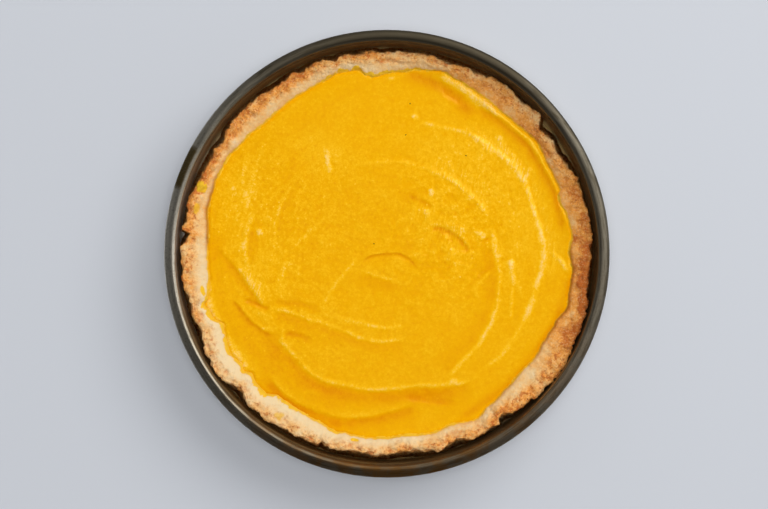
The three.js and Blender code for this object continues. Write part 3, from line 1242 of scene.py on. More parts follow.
    @staticmethod
    def wetted(around: Array, radius: Array, inner: Array) -> Array:
        """Works out how far the filling's edge has stained the crust beside it.

        Args:
            around: directions of the vertices.
            radius: their radius.
            inner: radius of the filling's edge beside each of them.

        Returns:
            From 0 to 1 for each vertex.
        """
        rough = Unevenness(78).layered(on_ring(radius, around), size=3.0, layers=3, keep=0.7)
        reach = around_values(WETTED, around) * (1.0 + 0.9 * rough)
        return 0.85 * smooth_between(-(radius - inner), -reach - 0.6, -reach + 0.4)

    @staticmethod
    def smear(around: Array, radius: Array, smears: tuple[Smear, ...]) -> Array:
        """Works out how much filling is smeared on the crust.

        Args:
            around: directions of the vertices.
            radius: their radius.
            smears: the smears to count.

        Returns:
            From 0 to 1 for each vertex.
        """
        rough = Unevenness(77).layered(on_ring(radius, around), size=2.4, layers=3, keep=0.6)
        total = np.zeros(len(around))
        for smear in smears:
            across = (degrees_from(around, smear.angle) / smear.span) ** 2
            across += ((radius - smear.radius) / smear.width) ** 2
            here = smooth_between(-(across + 0.8 * rough), -1.3, -0.5)
            total = np.maximum(total, smear.cover * here)
        return total


# ---------------------------------------------------------------- filling


class Side(Enum):
    """The side of a knife mark, seen along its path, that lies lower."""

    NONE = 0.0
    RIGHT = 1.0
    LEFT = -1.0


@dataclass(frozen=True)
class Trace:
    """Where places lie along a stroke: those near it, how far off, on which side, how far on."""

    near: Array
    away: Array
    side: Array
    along: Array
    length: float


@dataclass(frozen=True)
class Stroke:
    """A curved path over the filling, in millimetres: its width on its left and right, and how
    far the knife has torn the puree along it."""

    path: Pairs
    left: float = 1.3
    right: float = 1.3
    torn: float = 0.0

    spacing = 1.6
    widths_seen = 2.4

    def points(self) -> Array:
        """Rounds the path.

        Returns:
            The points of a smooth curve, about evenly spaced.
        """
        turns = np.array(self.path, dtype=float)
        lengths = [np.hypot(*(end - start)) for start, end in zip(turns, turns[1:])]
        return curve_through(turns, tuple(max(2, int(each / self.spacing)) for each in lengths))

    def margin(self) -> float:
        """How far the stroke reaches to its sides."""
        return self.widths_seen * max(self.left, self.right)

    def trace(self, x: Array, y: Array) -> Trace:
        """Finds where places lie along the path.

        Args:
            x: first coordinate of each place.
            y: second coordinate of each place.

        Returns:
            The places near enough, measured along and across the path.
        """
        points = self.points()
        low, high = points.min(axis=0) - self.margin(), points.max(axis=0) + self.margin()
        near = np.nonzero((x > low[0]) & (x < high[0]) & (y > low[1]) & (y < high[1]))[0]
        px, py = x[near], y[near]
        away = np.full(len(near), np.inf)
        side = np.zeros(len(near))
        along = np.zeros(len(near))
        gone = 0.0
        for (ax, ay), (bx, by) in zip(points, points[1:]):
            dx, dy = bx - ax, by - ay
            length = math.hypot(dx, dy)
            t = np.clip(((px - ax) * dx + (py - ay) * dy) / (length**2 + 1e-12), 0, 1)
            off = np.hypot(px - ax - t * dx, py - ay - t * dy)
            closer = off < away
            away[closer] = off[closer]
            side[closer] = np.sign((px - ax) * dy - (py - ay) * dx)[closer]
            along[closer] = (gone + t * length)[closer]
            gone += length
        return Trace(near, away, side, along, gone)

    def flank(self, trace: Trace) -> Array:
        """The stroke's shape across its path: 1 on the path, and less to its sides."""
        width = np.where(trace.side > 0, self.right, self.left)
        return np.exp(-((trace.away / width) ** 2))


@dataclass(frozen=True)
class KnifeMark(Stroke):
    """One mark of the palette knife: a ridge or furrow, or a step down to one side.

    The ridge falls off over left and right on its two sides; the step falls over ramp and dies
    away over reach. Pale is how much painted highlight a crest takes, deep how much painted shade
    deepens a hollow at its foot, and fade how long each end takes to die away.
    """

    rise: float = 0.0
    drop: float = 0.0
    lower: Side = Side.NONE
    ramp: float = 2.0
    reach: float = 12.0
    pale: float = 0.0
    deep: float = 0.0
    foot: float = 0.0
    fade: float = 8.0

    longest_fade = 0.4
    coarse_gap = 6.0
    fine_gap = 2.2
    marks_apart = 9.7
    step_squareness = 1.35
    foot_sharpness = 2.2

    def margin(self) -> float:
        """How far the mark reaches to its sides."""
        widest = max(self.left, self.right, self.ramp, self.foot)
        return self.widths_seen * widest + 2.0 * self.reach * (self.drop > 0)

    def ends(self, trace: Trace) -> Array:
        """Fades the mark out at both ends, from 1 to 0."""
        fade = min(self.fade, self.longest_fade * trace.length)
        return smooth_between(trace.along, 0.0, fade) * smooth_between(
            -trace.along, -trace.length, fade - trace.length
        )

    def rough(self, trace: Trace, noise: Unevenness, number: int) -> Array:
        """Works out how a torn mark comes and goes along its path.

        Args:
            trace: where the near places lie.
            noise: the unevenness that it takes.
            number: the mark's number, so that no two are alike.

        Returns:
            About 1, for each near place.
        """
        lane = 0 * trace.along + self.marks_apart * number
        line = np.stack([trace.along, lane, 0.25 * trace.away], axis=1)
        gaps = 0.25 + 1.1 * noise.at(line, self.coarse_gap) + 0.7 * noise.at(line, self.fine_gap)
        return np.clip(1.0 - self.torn * gaps, 0.0, 1.5)

    def down(self, trace: Trace) -> Array:
        """Whether each near place is on the lower side."""
        return (trace.side * self.lower.value) > 0

    def height(self, trace: Trace, rough: Array) -> Array:
        """Works out the mark's height.

        Args:
            trace: where the near places lie.
            rough: how the mark comes and goes there.

        Returns:
            Height above the level filling at the near places.
        """
        height = self.rise * self.flank(trace) * (rough if self.rise > 0 else 1.0)
        fallen = 1 - np.exp(-((trace.away / self.ramp) ** self.step_squareness))
        step = fallen * np.exp(-trace.away / self.reach)
        height -= self.drop * step * self.down(trace) * (0.75 + 0.25 * rough)
        return height * self.ends(trace)

    def tone(self, trace: Trace, rough: Array) -> Array:
        """Works out the painted light and shade of the mark.

        Args:
            trace: where the near places lie.
            rough: how the mark comes and goes there.

        Returns:
            How much painted highlight the near places take, above 0, or painted shade, below 0.
        """
        # Painted highlight along the crest; painted shade at the foot of a step or along a furrow.
        tone = self.pale * self.flank(trace) * rough
        if self.foot:
            share = trace.away / self.foot
            hollow = (share * np.exp(1.0 - share)) ** self.foot_sharpness
            tone -= self.deep * hollow * self.down(trace)
        elif self.deep:
            tone -= self.deep * self.flank(trace)
        return tone * self.ends(trace)


@dataclass(frozen=True)
class Wash(Stroke):
    """A soft broad patch along a path, paler above 0 and deeper below 0: painted sheen and painted
    shade, except where the filling lies thin over the crust.
    """

    left: float = 8.0
    right: float = 8.0
    tone: float = 0.0


# In these marks pale is painted highlight and deep is painted shade.
KNIFE_MARKS = (
    # The outer sweep, from the top round to the lower right.
    KnifeMark(((17.6, 77.8), (29.3, 74.3), (41, 71.8), (49.3, 69.3), (54.1, 66.1), (60.7, 58.8)),
              rise=0.14, left=1.0, right=1.2, pale=0.36, torn=0.5),
    KnifeMark(((51.7, 68.1), (58.8, 63.4), (69, 56.3), (76.2, 48.8), (81.8, 38.6), (84.8, 28.3),
               (87.5, 18.8), (90.5, 9.4), (92, 1), (91.5, -5.9), (90, -11.9)),
              rise=0.12, left=1.2, right=1.6, drop=0.85, lower=Side.LEFT, ramp=2.2, reach=10.0,
              pale=0.72, torn=0.35),
    KnifeMark(((91.8, 0), (91.1, -8.4), (88.1, -17.1), (85.6, -26.2), (81.7, -36.1), (76.9, -45.4),
               (71.2, -54), (64.6, -61.6), (56.5, -67.1)),
              rise=0.2, left=1.4, right=1.6, drop=0.25, lower=Side.LEFT, ramp=2.6, reach=8.0,
              pale=0.62, torn=0.5, fade=14.0),
    KnifeMark(((44.4, 74.4), (53.2, 66.5), (57.7, 61.6), (60.9, 57.5)),
              rise=0.22, left=1.1, right=1.0, pale=0.25, torn=0.6, fade=4.0),
    KnifeMark(((63, 70.5), (66.5, 66), (71, 59.5), (76.5, 52.5), (80.5, 45)),
              rise=0.22, left=1.8, right=1.5, pale=0.7, torn=0.8, fade=5.0),
    KnifeMark(((79, 40.7), (81, 44.2), (83.5, 48.7), (84.6, 51.3)),
              rise=0.2, left=1.0, right=1.4, pale=0.58, torn=0.6, fade=3.0),
    KnifeMark(((13, 79.3), (16, 80.3), (19, 80.8)),
              rise=0.25, left=1.2, right=1.4, pale=0.75, torn=0.5),
    KnifeMark(((0.5, 101.8), (3, 102.2), (6, 101.8)), rise=0.25, left=1.2, right=1.4, pale=0.7),
    # The rolled lip at the upper right, with the hollow inside it.
    KnifeMark(((7.9, 103.6), (17.8, 102.6), (28.3, 98.5), (38.2, 92.2), (45.9, 85.9), (54.5, 79.8)),
              rise=-0.4, left=3.0, right=3.4, deep=0.9, torn=0.3, fade=12.0),
    KnifeMark(((28, 104.5), (36, 101.5), (43, 97), (49.6, 92.4), (58.7, 86.6), (66.6, 79.4)),
              rise=0.55, left=2.6, right=2.6, pale=0.6, torn=0.35),
    KnifeMark(((49.3, 92), (58.7, 86.2), (66.6, 79), (75, 72.4), (83.8, 65.2), (89.3, 55.6),
               (94.4, 45.8), (100.2, 36.2), (103.5, 26), (104.6, 14)),
              rise=0.75, left=1.8, right=1.9, pale=0.4, torn=0.35),
    KnifeMark(((52, 85.5), (57, 82), (65.1, 77.6), (73.4, 70.9), (81.6, 63.7), (87.3, 54.6),
               (92.6, 45.2), (98.2, 35.7), (101.5, 24), (103, 10)),
              rise=-0.2, left=1.8, right=2.6, deep=0.8, torn=0.2),
    # Arcs round the middle.
    KnifeMark(((-24.1, 50.4), (-11.1, 52.4), (-1.5, 53.4), (10.1, 52.4), (22.1, 49.9), (34.2, 45.4),
               (43.7, 38.8), (51.3, 32.3), (56.3, 26.8), (61.3, 20.8)),
              rise=0.06, left=1.2, right=1.0, drop=0.45, lower=Side.LEFT, ramp=3.6, reach=24.0,
              pale=0.14, torn=0.35, fade=16.0),
    KnifeMark(((21.9, 49.1), (33.8, 44.6), (43.3, 38.2), (50.7, 31.7), (55.7, 26.2), (60.7, 20.2)),
              rise=0.12, left=1.4, right=0.9, drop=0.4, lower=Side.LEFT, ramp=3.6, reach=14.0,
              pale=0.5, torn=0.45),
    KnifeMark(((0, 35), (3, 36), (10, 38.5), (17.5, 40), (22.5, 39.5), (26, 36.5), (27.5, 31.5)),
              rise=0.1, left=1.0, right=2.0, drop=0.2, lower=Side.RIGHT, ramp=3.0, reach=5.0,
              pale=0.06, deep=0.2, foot=4.0),
    KnifeMark(((24, 38), (26, 36), (26.8, 32.5)),
              rise=0.3, left=1.2, right=1.4, pale=0.7, fade=2.0),
    KnifeMark(((12, 33.6), (15, 33), (21, 30.5), (27, 26.5)),
              rise=-0.25, left=1.3, right=1.1, deep=0.7, fade=4.0),
    KnifeMark(((16, 27), (22, 25), (27, 21.5)), rise=0.2, left=1.6, right=1.8, pale=0.3, torn=0.6),
    KnifeMark(((31, 19.5), (35, 17.5), (40.5, 14.9), (49, 12.4)),
              rise=0.25, left=1.3, right=1.9, pale=0.2, torn=0.7, fade=4.0),
    KnifeMark(((25, 17), (27, 16.5), (34, 15), (40, 12.5), (45, 8), (48, 4.5), (48.5, -1)),
              rise=0.12, left=1.5, drop=0.7, lower=Side.RIGHT, ramp=1.1, reach=5.0, pale=0.2,
              deep=0.9, foot=1.3, torn=0.4, fade=4.0),
    KnifeMark(((34, 11), (37, 5), (37.2, -1.5), (35, -9)),
              rise=0.14, left=0.9, right=1.2, pale=0.3, torn=0.6),
    KnifeMark(((-15, -5), (-10.5, -1), (-1.5, 0.5), (8.3, 0.1), (14.6, -3.4), (18.2, -8.7)),
              rise=0.05, left=1.6, drop=0.5, lower=Side.RIGHT, ramp=0.9, reach=5.0, deep=0.8,
              foot=0.8, torn=0.2, fade=5.0),
    KnifeMark(((-15.3, -1.1), (-16.8, -2.6), (-23.3, -9.1), (-27.8, -15.1), (-32.8, -22.1),
               (-36.8, -29.1), (-38.8, -35.1)),
              rise=0.2, left=1.2, right=0.9, pale=0.3, torn=0.3),
    KnifeMark(((-15.8, -7.7), (-8.8, -11.6), (-2.9, -13.6), (3.1, -15.1), (10.2, -18.1)),
              rise=0.08, left=1.2, drop=0.35, lower=Side.RIGHT, ramp=2.4, reach=7.0, pale=0.3,
              deep=0.3, foot=3.2),
    KnifeMark(((61.6, 14), (61.9, 10.5), (62.8, 3.4), (65.2, -6.1), (66.4, -16), (65.8, -23.1),
               (63.8, -32.6), (60.4, -41.4), (54.7, -51), (47.7, -59.4), (41.2, -66.7),
               (34.7, -73.7)),
              rise=0.2, left=1.2, right=1.3, drop=0.15, lower=Side.RIGHT, ramp=3.0, reach=5.0,
              pale=0.5, deep=0.22, foot=4.2, torn=0.35),
    KnifeMark(((61.5, 18.1), (62.5, 12.1), (63.7, 4.1), (66.1, -4.9)),
              rise=0.1, left=1.6, right=1.0, drop=0.35, lower=Side.LEFT, ramp=2.4, reach=8.0,
              pale=0.5, torn=0.4),
    KnifeMark(((72, -2), (72.5, -4), (73.5, -11), (74, -20)),
              rise=0.25, left=1.5, right=1.3, pale=0.42, torn=0.5, fade=4.0),
    KnifeMark(((70.9, -2.6), (72.8, -5.6), (73.8, -8.5)),
              rise=0.3, left=1.6, right=1.6, pale=0.5, fade=3.0),
    KnifeMark(((73.6, -16), (73.2, -24), (73, -32), (72, -43)),
              rise=0.12, left=0.9, right=0.9, pale=0.22, torn=0.6),
    KnifeMark(((65, -6), (63.5, -7.5), (56.5, -14.5), (49, -23)),
              rise=0.16, left=1.2, right=1.1, drop=0.15, lower=Side.RIGHT, ramp=2.0, reach=4.0,
              pale=0.3, deep=0.18, foot=2.6),
    KnifeMark(((94.5, 2.5), (98.5, -1.3), (102.5, -6), (105.5, -11.5)),
              rise=0.35, left=1.1, right=1.2, pale=0.65, torn=0.3, fade=4.0),
    KnifeMark(((75.5, -13.5), (78.5, -23), (80.5, -30.5)),
              rise=0.1, left=0.9, right=0.9, pale=0.25),
    KnifeMark(((52.2, 13.9), (55.2, 11.1), (57.3, 7.5)),
              rise=0.4, left=2.0, right=2.0, pale=0.9, fade=3.0),
    # The upper left: a long thin arc, a blob, short curls.
    KnifeMark(((-57.1, -1.1), (-50.4, 7.2), (-40.4, 17.2), (-29.8, 23.7)),
              rise=0.1, left=0.9, right=0.8, pale=0.3, torn=0.4),
    KnifeMark(((-58.2, -1.8), (-61.5, -14.3), (-64.9, -26)),
              rise=0.1, left=1.6, right=1.6, pale=0.25, torn=0.4),
    KnifeMark(((-76.9, 23.2), (-78.6, 19.2), (-82, 8.3), (-82.8, 2.4), (-81.1, -6.1),
               (-79.9, -9.1)),
              rise=0.28, left=1.4, right=1.5, drop=0.1, lower=Side.LEFT, ramp=2.0, reach=4.0,
              pale=0.45, deep=0.35, foot=3.0, torn=0.3, fade=5.0),
    KnifeMark(((-75.5, 15), (-74.5, 12), (-74, 9)),
              rise=0.45, left=1.6, right=1.5, drop=0.1, lower=Side.RIGHT, ramp=2.0, reach=4.0,
              pale=0.85, deep=0.3, foot=4.2, fade=2.5),
    KnifeMark(((-34.3, 62.5), (-34.6, 56), (-33.8, 51.1), (-32.4, 46)),
              rise=0.3, left=1.3, right=1.3, pale=0.75, torn=0.4, fade=2.5),
    KnifeMark(((-8, 101), (-29.6, 89.9), (-44.3, 78.2), (-55, 66)),
              rise=-0.06, left=1.6, right=2.4, deep=0.12, torn=0.3),
    KnifeMark(((-50.5, 39.5), (-57.1, 31.2), (-61.8, 20.7), (-64.5, 11)),
              rise=-0.1, left=1.2, right=1.2, deep=0.32, torn=0.4, fade=6.0),
    KnifeMark(((-54, 40.5), (-60, 31.8), (-64.5, 21), (-67, 12)),
              rise=0.08, left=1.2, right=1.2, pale=0.2, torn=0.4, fade=6.0),
    KnifeMark(((-55.9, 57), (-54.7, 48.8), (-58.2, 40.6)),
              rise=-0.08, left=1.4, right=1.4, deep=0.2, torn=0.3, fade=5.0),
    # The lower left, where the knife lifted.
    KnifeMark(((-101, 5.5), (-94.1, -0.1), (-86.5, -9.3), (-80.7, -18.5), (-75.7, -25.1),
               (-71.5, -31.9)),
              rise=0.05, left=1.4, drop=0.6, lower=Side.RIGHT, ramp=1.5, reach=6.0, deep=0.5,
              foot=1.9, torn=0.2, fade=10.0),
    KnifeMark(((-89, -5.5), (-84.4, -10.2), (-80, -16.5), (-75.2, -23.2), (-70, -30.6)),
              rise=0.28, left=2.2, right=1.2, pale=0.32, torn=0.45, fade=7.0),
    KnifeMark(((-90, -25.5), (-87, -28.9), (-81.6, -35.2), (-76.5, -41), (-69, -45.2),
               (-64.9, -46.9)),
              rise=0.15, left=1.5, drop=0.6, lower=Side.RIGHT, ramp=1.2, reach=5.0, pale=0.15,
              deep=0.8, foot=1.3, torn=0.25, fade=5.0),
    KnifeMark(((-84, -27.2), (-79, -28.2), (-75, -30), (-67.5, -32.4)),
              rise=-0.45, left=1.1, right=1.4, deep=0.85, fade=3.0),
    KnifeMark(((-78, -32.5), (-71, -35.5), (-66, -36.5)),
              rise=0.15, left=1.2, right=2.0, pale=0.35, torn=0.5),
    KnifeMark(((-69, -32.6), (-62, -32.2), (-55, -31.2)),
              rise=0.16, left=1.3, right=2.0, pale=0.35, torn=0.3),
    KnifeMark(((-61.7, -46.4), (-59.7, -46.9), (-51.7, -47.9), (-42.6, -50.4)),
              rise=-0.35, left=1.5, right=1.2, deep=0.85, fade=4.0),
    KnifeMark(((-55, -53), (-50, -54), (-45, -55)),
              rise=0.12, left=0.8, right=0.8, pale=0.3, torn=0.5),
    KnifeMark(((-61.8, -43), (-61.3, -49.3), (-58.3, -54.1), (-52.9, -59.9), (-46, -67.4),
               (-37.9, -73.2), (-30.2, -75.8), (-20.8, -77.4), (-8.9, -79), (3, -78.8), (15, -78),
               (27, -77.5), (37.6, -76.4), (51, -73.4)),
              rise=0.12, left=1.5, drop=0.95, lower=Side.RIGHT, ramp=3.6, reach=6.5, pale=0.38,
              deep=0.42, foot=4.3, torn=0.25),
    KnifeMark(((-60.5, -58), (-56, -63.5), (-49, -71), (-40.5, -77.5), (-31, -80.3), (-19, -82)),
              rise=-0.15, left=1.8, right=1.6, deep=0.25, torn=0.3),
    KnifeMark(((-70, -68.5), (-66, -73), (-61.5, -79), (-54.5, -85), (-49.5, -87.5), (-39.9, -91.3),
               (-30.5, -94.3), (-18.5, -95.6), (-6.5, -93.8), (5.5, -90.6), (18, -86.7)),
              rise=0.12, left=3.5, drop=0.95, lower=Side.RIGHT, ramp=2.3, reach=5.0, pale=0.2,
              deep=0.75, foot=3.1, torn=0.2, fade=10.0),
    KnifeMark(((-53, -84), (-49.5, -82.5), (-45, -80), (-36, -81.5)),
              rise=0.16, left=1.2, right=2.5, pale=0.3, torn=0.5),
    KnifeMark(((8, -84), (13, -84.8), (24.5, -86.3), (35.5, -87.3), (42, -87.5)),
              rise=-0.5, left=4.4, right=1.1, deep=0.6, torn=0.2),
    KnifeMark(((36, -73), (39.5, -74.5), (43, -74)),
              rise=0.3, left=2.0, right=2.0, pale=0.6, fade=3.0),
    # The fan of fine strokes below the middle.
    KnifeMark(((-66.2, -29.3), (-64.2, -30.3), (-53.2, -35.8), (-43.6, -39.3), (-34.4, -41.4),
               (-25.1, -45.1), (-13.4, -49.7), (-1.5, -51.4), (13.1, -49.1)),
              rise=0.12, left=1.3, drop=0.35, lower=Side.RIGHT, ramp=2.0, reach=6.0, pale=0.35,
              deep=0.3, foot=2.8, torn=0.35),
    KnifeMark(((-42, -34), (-37.5, -35.3), (-25.5, -37.8), (-13.5, -40.8), (-1.5, -42.8),
               (13, -41.8)),
              rise=0.15, left=1.1, right=1.5, pale=0.35, torn=0.4),
    KnifeMark(((-66, -28.6), (-61.9, -28.8), (-50.2, -29.7), (-38, -34)),
              rise=-0.22, left=1.8, right=2.0, deep=0.4, fade=5.0),
    KnifeMark(((18, -55), (24, -58), (30, -60)),
              rise=0.1, left=0.9, right=0.9, pale=0.15, torn=0.4),
)

# Tones above 0 are painted sheen and below 0 painted shade, but for the last, where the filling
# lies thin.
WASHES = (
    Wash(((30, 66), (44, 60), (58, 50), (70, 36), (78, 18), (80, 2)),
         tone=0.12, torn=0.35, left=9, right=12),
    Wash(((50, 72), (62, 64), (72, 56), (82, 46), (89, 32), (94, 18), (97, 4), (96, -10)),
         tone=0.1, torn=0.8, left=4.0, right=4.0),
    Wash(((30, 52), (38, 48), (46, 42), (54, 36)), tone=0.1, torn=0.8, left=5.0, right=6.0),
    Wash(((20, 22), (30, 14), (40, 6)), tone=0.0, torn=0.7, left=11.0, right=11.0),
    Wash(((-100, 4), (-97, -10), (-92, -30), (-80, -50), (-66, -66), (-50, -80), (-34, -90)),
         tone=-0.16, left=8.0, right=9.0),
    Wash(((-45, -74), (-42, -78), (-24, -83.5), (-4, -85), (14, -84.5)),
         tone=-0.16, left=3.0, right=3.0),
    Wash(((106, -17), (104.5, -24), (97, -42), (85, -60), (71, -76), (54, -89), (46, -94)),
         tone=-0.5, left=2.4, right=2.4),
    Wash(((-88, 36), (-80, 16), (-78, -4), (-84, -18)), tone=0.12, torn=0.3, left=14, right=14),
    Wash(((60, 0), (62, -6), (63, -14), (62.5, -24)), tone=-0.15, left=3.0, right=4.0),
    Wash(((-50, 66), (-36, 60), (-24, 54)), tone=0.12, left=8, right=8),
    Wash(((-79, -12), (-76, -19), (-73, -27)), tone=0.15, torn=0.45, left=3.5, right=3.0),
    Wash(((-79.9, 57), (-84, 47), (-83, 38), (-80, 28)), tone=0.28, torn=0.2, left=1.5, right=1.5),
    Wash(((-72.9, 58.1), (-77, 48.8), (-78.1, 34.7)), tone=0.24, torn=0.2, left=1.3, right=1.3),
    # Where the filling lies thin over the crust's slope.
    Wash(((-104.5, -16), (-103, -30), (-97, -42), (-90.5, -54), (-83, -65)),
         tone=0.5, left=2.6, right=2.6),
)

SPECKS = ((-7.4, 5.7), (13.7, 87.4), (46.3, 57.1), (11.2, 69.2))


@dataclass(frozen=True)
class Area:
    """A soft round area of the filling in millimetres, and what it adds to a value in its
    middle. A wide or long below 1 stretches it along X or Y."""

    x: float
    y: float
    width: float
    amount: float
    wide: float = 1.0
    long: float = 1.0

    def share(self, x: Array, y: Array) -> Array:
        """How much of the area each place has, from 0 to 1."""
        return bell(np.hypot((x - self.x) * self.wide, (y - self.y) * self.long), 0, self.width)


@dataclass(frozen=True)
class Spread:
    """A value over the filling: the same all over, but for what some areas add."""

    base: float
    areas: tuple[Area, ...]

    def at(self, x: Array, y: Array) -> Array:
        """The value at each place."""
        return sum((area.amount * area.share(x, y) for area in self.areas), start=self.base)


# How high the small lumps are: most to the right of the middle, where the puree is rough.
LUMPINESS = Spread(0.055, (
    Area(34, 8, 30, 0.21, long=0.9), Area(-72, 20, 40, 0.07, wide=0.7), Area(-62, -58, 30, 0.07),
))
# How deep the knife's fine round tracks are: most on the left, where the puree is thin.
TRACKS = Spread(0.03, (Area(-72, 20, 40, 0.06, wide=0.7),))
# How streaky the puree looks, and how strong the painted sheen and glints of its grain and streaks
# are.
MOTTLE = Spread(0.2, (
    Area(-70, 25, 45, 0.65, wide=0.8), Area(40, 8, 28, 0.6), Area(55, 42, 36, 0.35),
    Area(-62, -58, 36, 0.45),
))


@dataclass(frozen=True)
class FillingSizes:
    """Sizes of the filling in millimetres."""

    top: float = node_top("tin") - 17.7
    floor: float = node_foot("filling")
    dome: float = 0.5
    swell: float = 0.45
    swell_size: float = 55.0
    edge_fall: float = 0.8
    edge_width: float = 2.2
    lean: float = 3.6
    lump_size: float = 4.0
    grain: float = 0.06
    grain_size: float = 1.7
    track_width: float = 1.7
    track_turns: float = 7.0
    torn_depth: float = 0.16
    torn_width: float = 1.7
    torn_length: float = 7.0
    slip: float = 0.6
    slip_size: float = 12.0
    fine_slip: float = 0.25
    fine_slip_size: float = 2.6
    speck: float = 0.38
    sheet_radius: float = 100.0
    rings: int = 130
    outer_share: float = 0.85
    steps: int = 144
    cuts: int = 4


class Filling:
    """The spread puree: its knife marks, its rough patches and its soft edge."""

    name = "pumpkin_filling"

    def __init__(self, sizes: FillingSizes) -> None:
        """Takes the filling's sizes and draws its unevenness.

        Args:
            sizes: its sizes.
        """
        self.sizes = sizes
        self.swells = Unevenness(41)
        self.grains = Unevenness(42)
        self.streaks = Unevenness(43)

    def marked(self, x: Array, y: Array) -> Array:
        """Height, painted light and shade, and tear of all the knife marks and washes.

        Args:
            x: first coordinate of each place.
            y: second coordinate of each place.

        Returns:
            Three rows of values.
        """
        size = self.sizes
        places = level_places(x, y)
        # A steady hand still wanders: the marks are read a little off their paths.
        slip_x, slip_y = (
            size.slip * self.swells.layered(places + shift, size.slip_size, layers=2, keep=0.45)
            + size.fine_slip * self.swells.at(places + shift, size.fine_slip_size)
            for shift in (200.0, 400.0)
        )
        height, tone, tear = found = np.zeros((3, len(x)))
        for number, mark in enumerate(KNIFE_MARKS):
            trace = mark.trace(x + slip_x, y + slip_y)
            rough = mark.rough(trace, self.streaks, number)
            height[trace.near] += mark.height(trace, rough)
            tone[trace.near] += mark.tone(trace, rough)
            tear[trace.near] += mark.torn * mark.flank(trace) * mark.ends(trace)
        for wash in WASHES:
            trace = wash.trace(x, y)
            tone[trace.near] += wash.tone * wash.flank(trace)
            tear[trace.near] += wash.torn * wash.flank(trace)
        uneven = 1.0 + 0.3 * self.grains.layered(places + 50.0, size=5.0, layers=3, keep=0.6)
        # The tone is painted light and shade: above 0 a highlight, below 0 shade.
        found[1] = np.clip(tone * uneven, -1, 1)
        found[2] = np.clip(tear, 0, 1)
        return found

    def relief(self, x: Array, y: Array, tear: Array) -> tuple[Array, Array]:
        """Works out the fine unevenness of the spread filling.

        Args:
            x: first coordinate of each place.
            y: second coordinate of each place.
            tear: how torn each place is.

        Returns:
            Its height, and the painted light and shade of its lumps, paler on the higher ones.
        """
        size = self.sizes
        places = level_places(x, y)
        lumps = self.grains.layered(places, size.lump_size, layers=3, keep=0.6)
        lumps *= LUMPINESS.at(x, y)
        radius = np.hypot(x, y)
        turn_x, turn_y = (size.track_turns * (each / (radius + 1.0)) for each in (x, y))
        round_tracks = np.stack([radius / size.track_width, turn_x, turn_y], axis=1)
        total = lumps + TRACKS.at(x, y) * self.streaks.layered(round_tracks, size=1.0, layers=2)
        across = x * math.sin(TEAR_WAY) - y * math.cos(TEAR_WAY)
        along = x * math.cos(TEAR_WAY) + y * math.sin(TEAR_WAY)
        hatch = level_places(across / size.torn_width, along / size.torn_length)
        hatched = self.streaks.layered(hatch + 70.0, size=1.0, layers=2)
        total += size.torn_depth * tear * hatched
        total += size.grain * self.grains.layered(places + 90.0, size.grain_size, layers=2)
        return total, 0.9 * lumps

    def build(self) -> bpy.types.Object:
        """Builds the filling.

        Returns:
            The filling, with its finish.
        """
        size = self.sizes
        shares = np.linspace(0.0, 1.0, size.rings + 1) ** size.outer_share
        skirt = [(-0.25, 1.5), (-1.0, 4.0), (-size.lean, size.top - size.floor - 3.0),
                 (-size.lean - 2.4, size.top - size.floor)]
        section = [(share * size.sheet_radius, size.top) for share in shares.tolist()]
        section += [(size.sheet_radius + out, size.top - down) for out, down in skirt]
        section += [(0.0, size.floor)]
        mesh = spun(section, size.steps, size.cuts)
        row = rows_of(mesh)
        around = directions_of(mesh)
        edge = FILLING_EDGE.at(around)
        on_top = row <= size.rings
        at_pole = row == len(section) - 1
        part = np.where(on_top, shares[np.minimum(row, size.rings)], 1.0)
        out = np.array([0.0] * (size.rings + 1) + [out for out, _ in skirt] + [0.0])[row]
        radius = np.where(at_pole, 0.0, edge * part + out)
        places = on_ring(radius, around)
        x, y, _ = places.T
        height, tone, tear = self.marked(x, y)
        relief, lump_tone = self.relief(x, y, tear)
        inside = smooth_between(edge * (1 - part), 0.0, size.edge_width)
        swell = size.swell * self.swells.layered(places, size.swell_size, layers=2, keep=0.4)
        top = size.top + size.dome * (1 - part**2)
        top = top + (swell + (relief + height)) * (0.4 + 0.6 * inside)
        top = top - size.edge_fall * (1 - inside) ** 2
        z = np.where(on_top, top, places_of(mesh)[:, 2] - np.where(at_pole, 0, 1.0))
        places[:, 2] = np.where(row >= len(section) - 2, size.floor, z)
        move_to(mesh, places)
        self.add_specks(mesh, places[on_top])
        added = np.zeros(len(mesh.verts) - len(x))
        marks = {
            # Painted light and shade of the marks, washes and lumps.
            "crest": np.append(np.where(on_top, tone + lump_tone, 0.0), added),
            "torn": np.append(np.where(on_top, tear, 0.0), added),
            "mottle": np.append(np.clip(MOTTLE.at(x, y), 0, 1), added),
            "spice": np.append(0 * x, added + 1.0),
        }
        filling = to_object(mesh, self.name, marks)
        filling.data.materials.append(Puree().material())
        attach(filling, "root")
        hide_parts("filling")
        return filling

    def add_specks(self, mesh: Mesh, surface: Array) -> None:
        """Presses a few grains of spice into the surface.

        Args:
            mesh: the filling's mesh.
            surface: places of the vertices on its top.
        """
        x, y, z = surface.T
        for number, (speck_x, speck_y) in enumerate(SPECKS):
            nearest = np.argmin(np.hypot(x - speck_x, y - speck_y))
            place = Matrix.Translation((speck_x, speck_y, z[nearest] + 0.1 * self.sizes.speck))
            turn = Matrix.Rotation(1.3 * number, 4, "Z")
            stretch = Matrix.Diagonal((1.5, 0.9, 0.6, 1.0))
            bmesh.ops.create_icosphere(
                mesh, subdivisions=1, radius=self.sizes.speck, matrix=place @ turn @ stretch
            )


# ---------------------------------------------------------------- studio


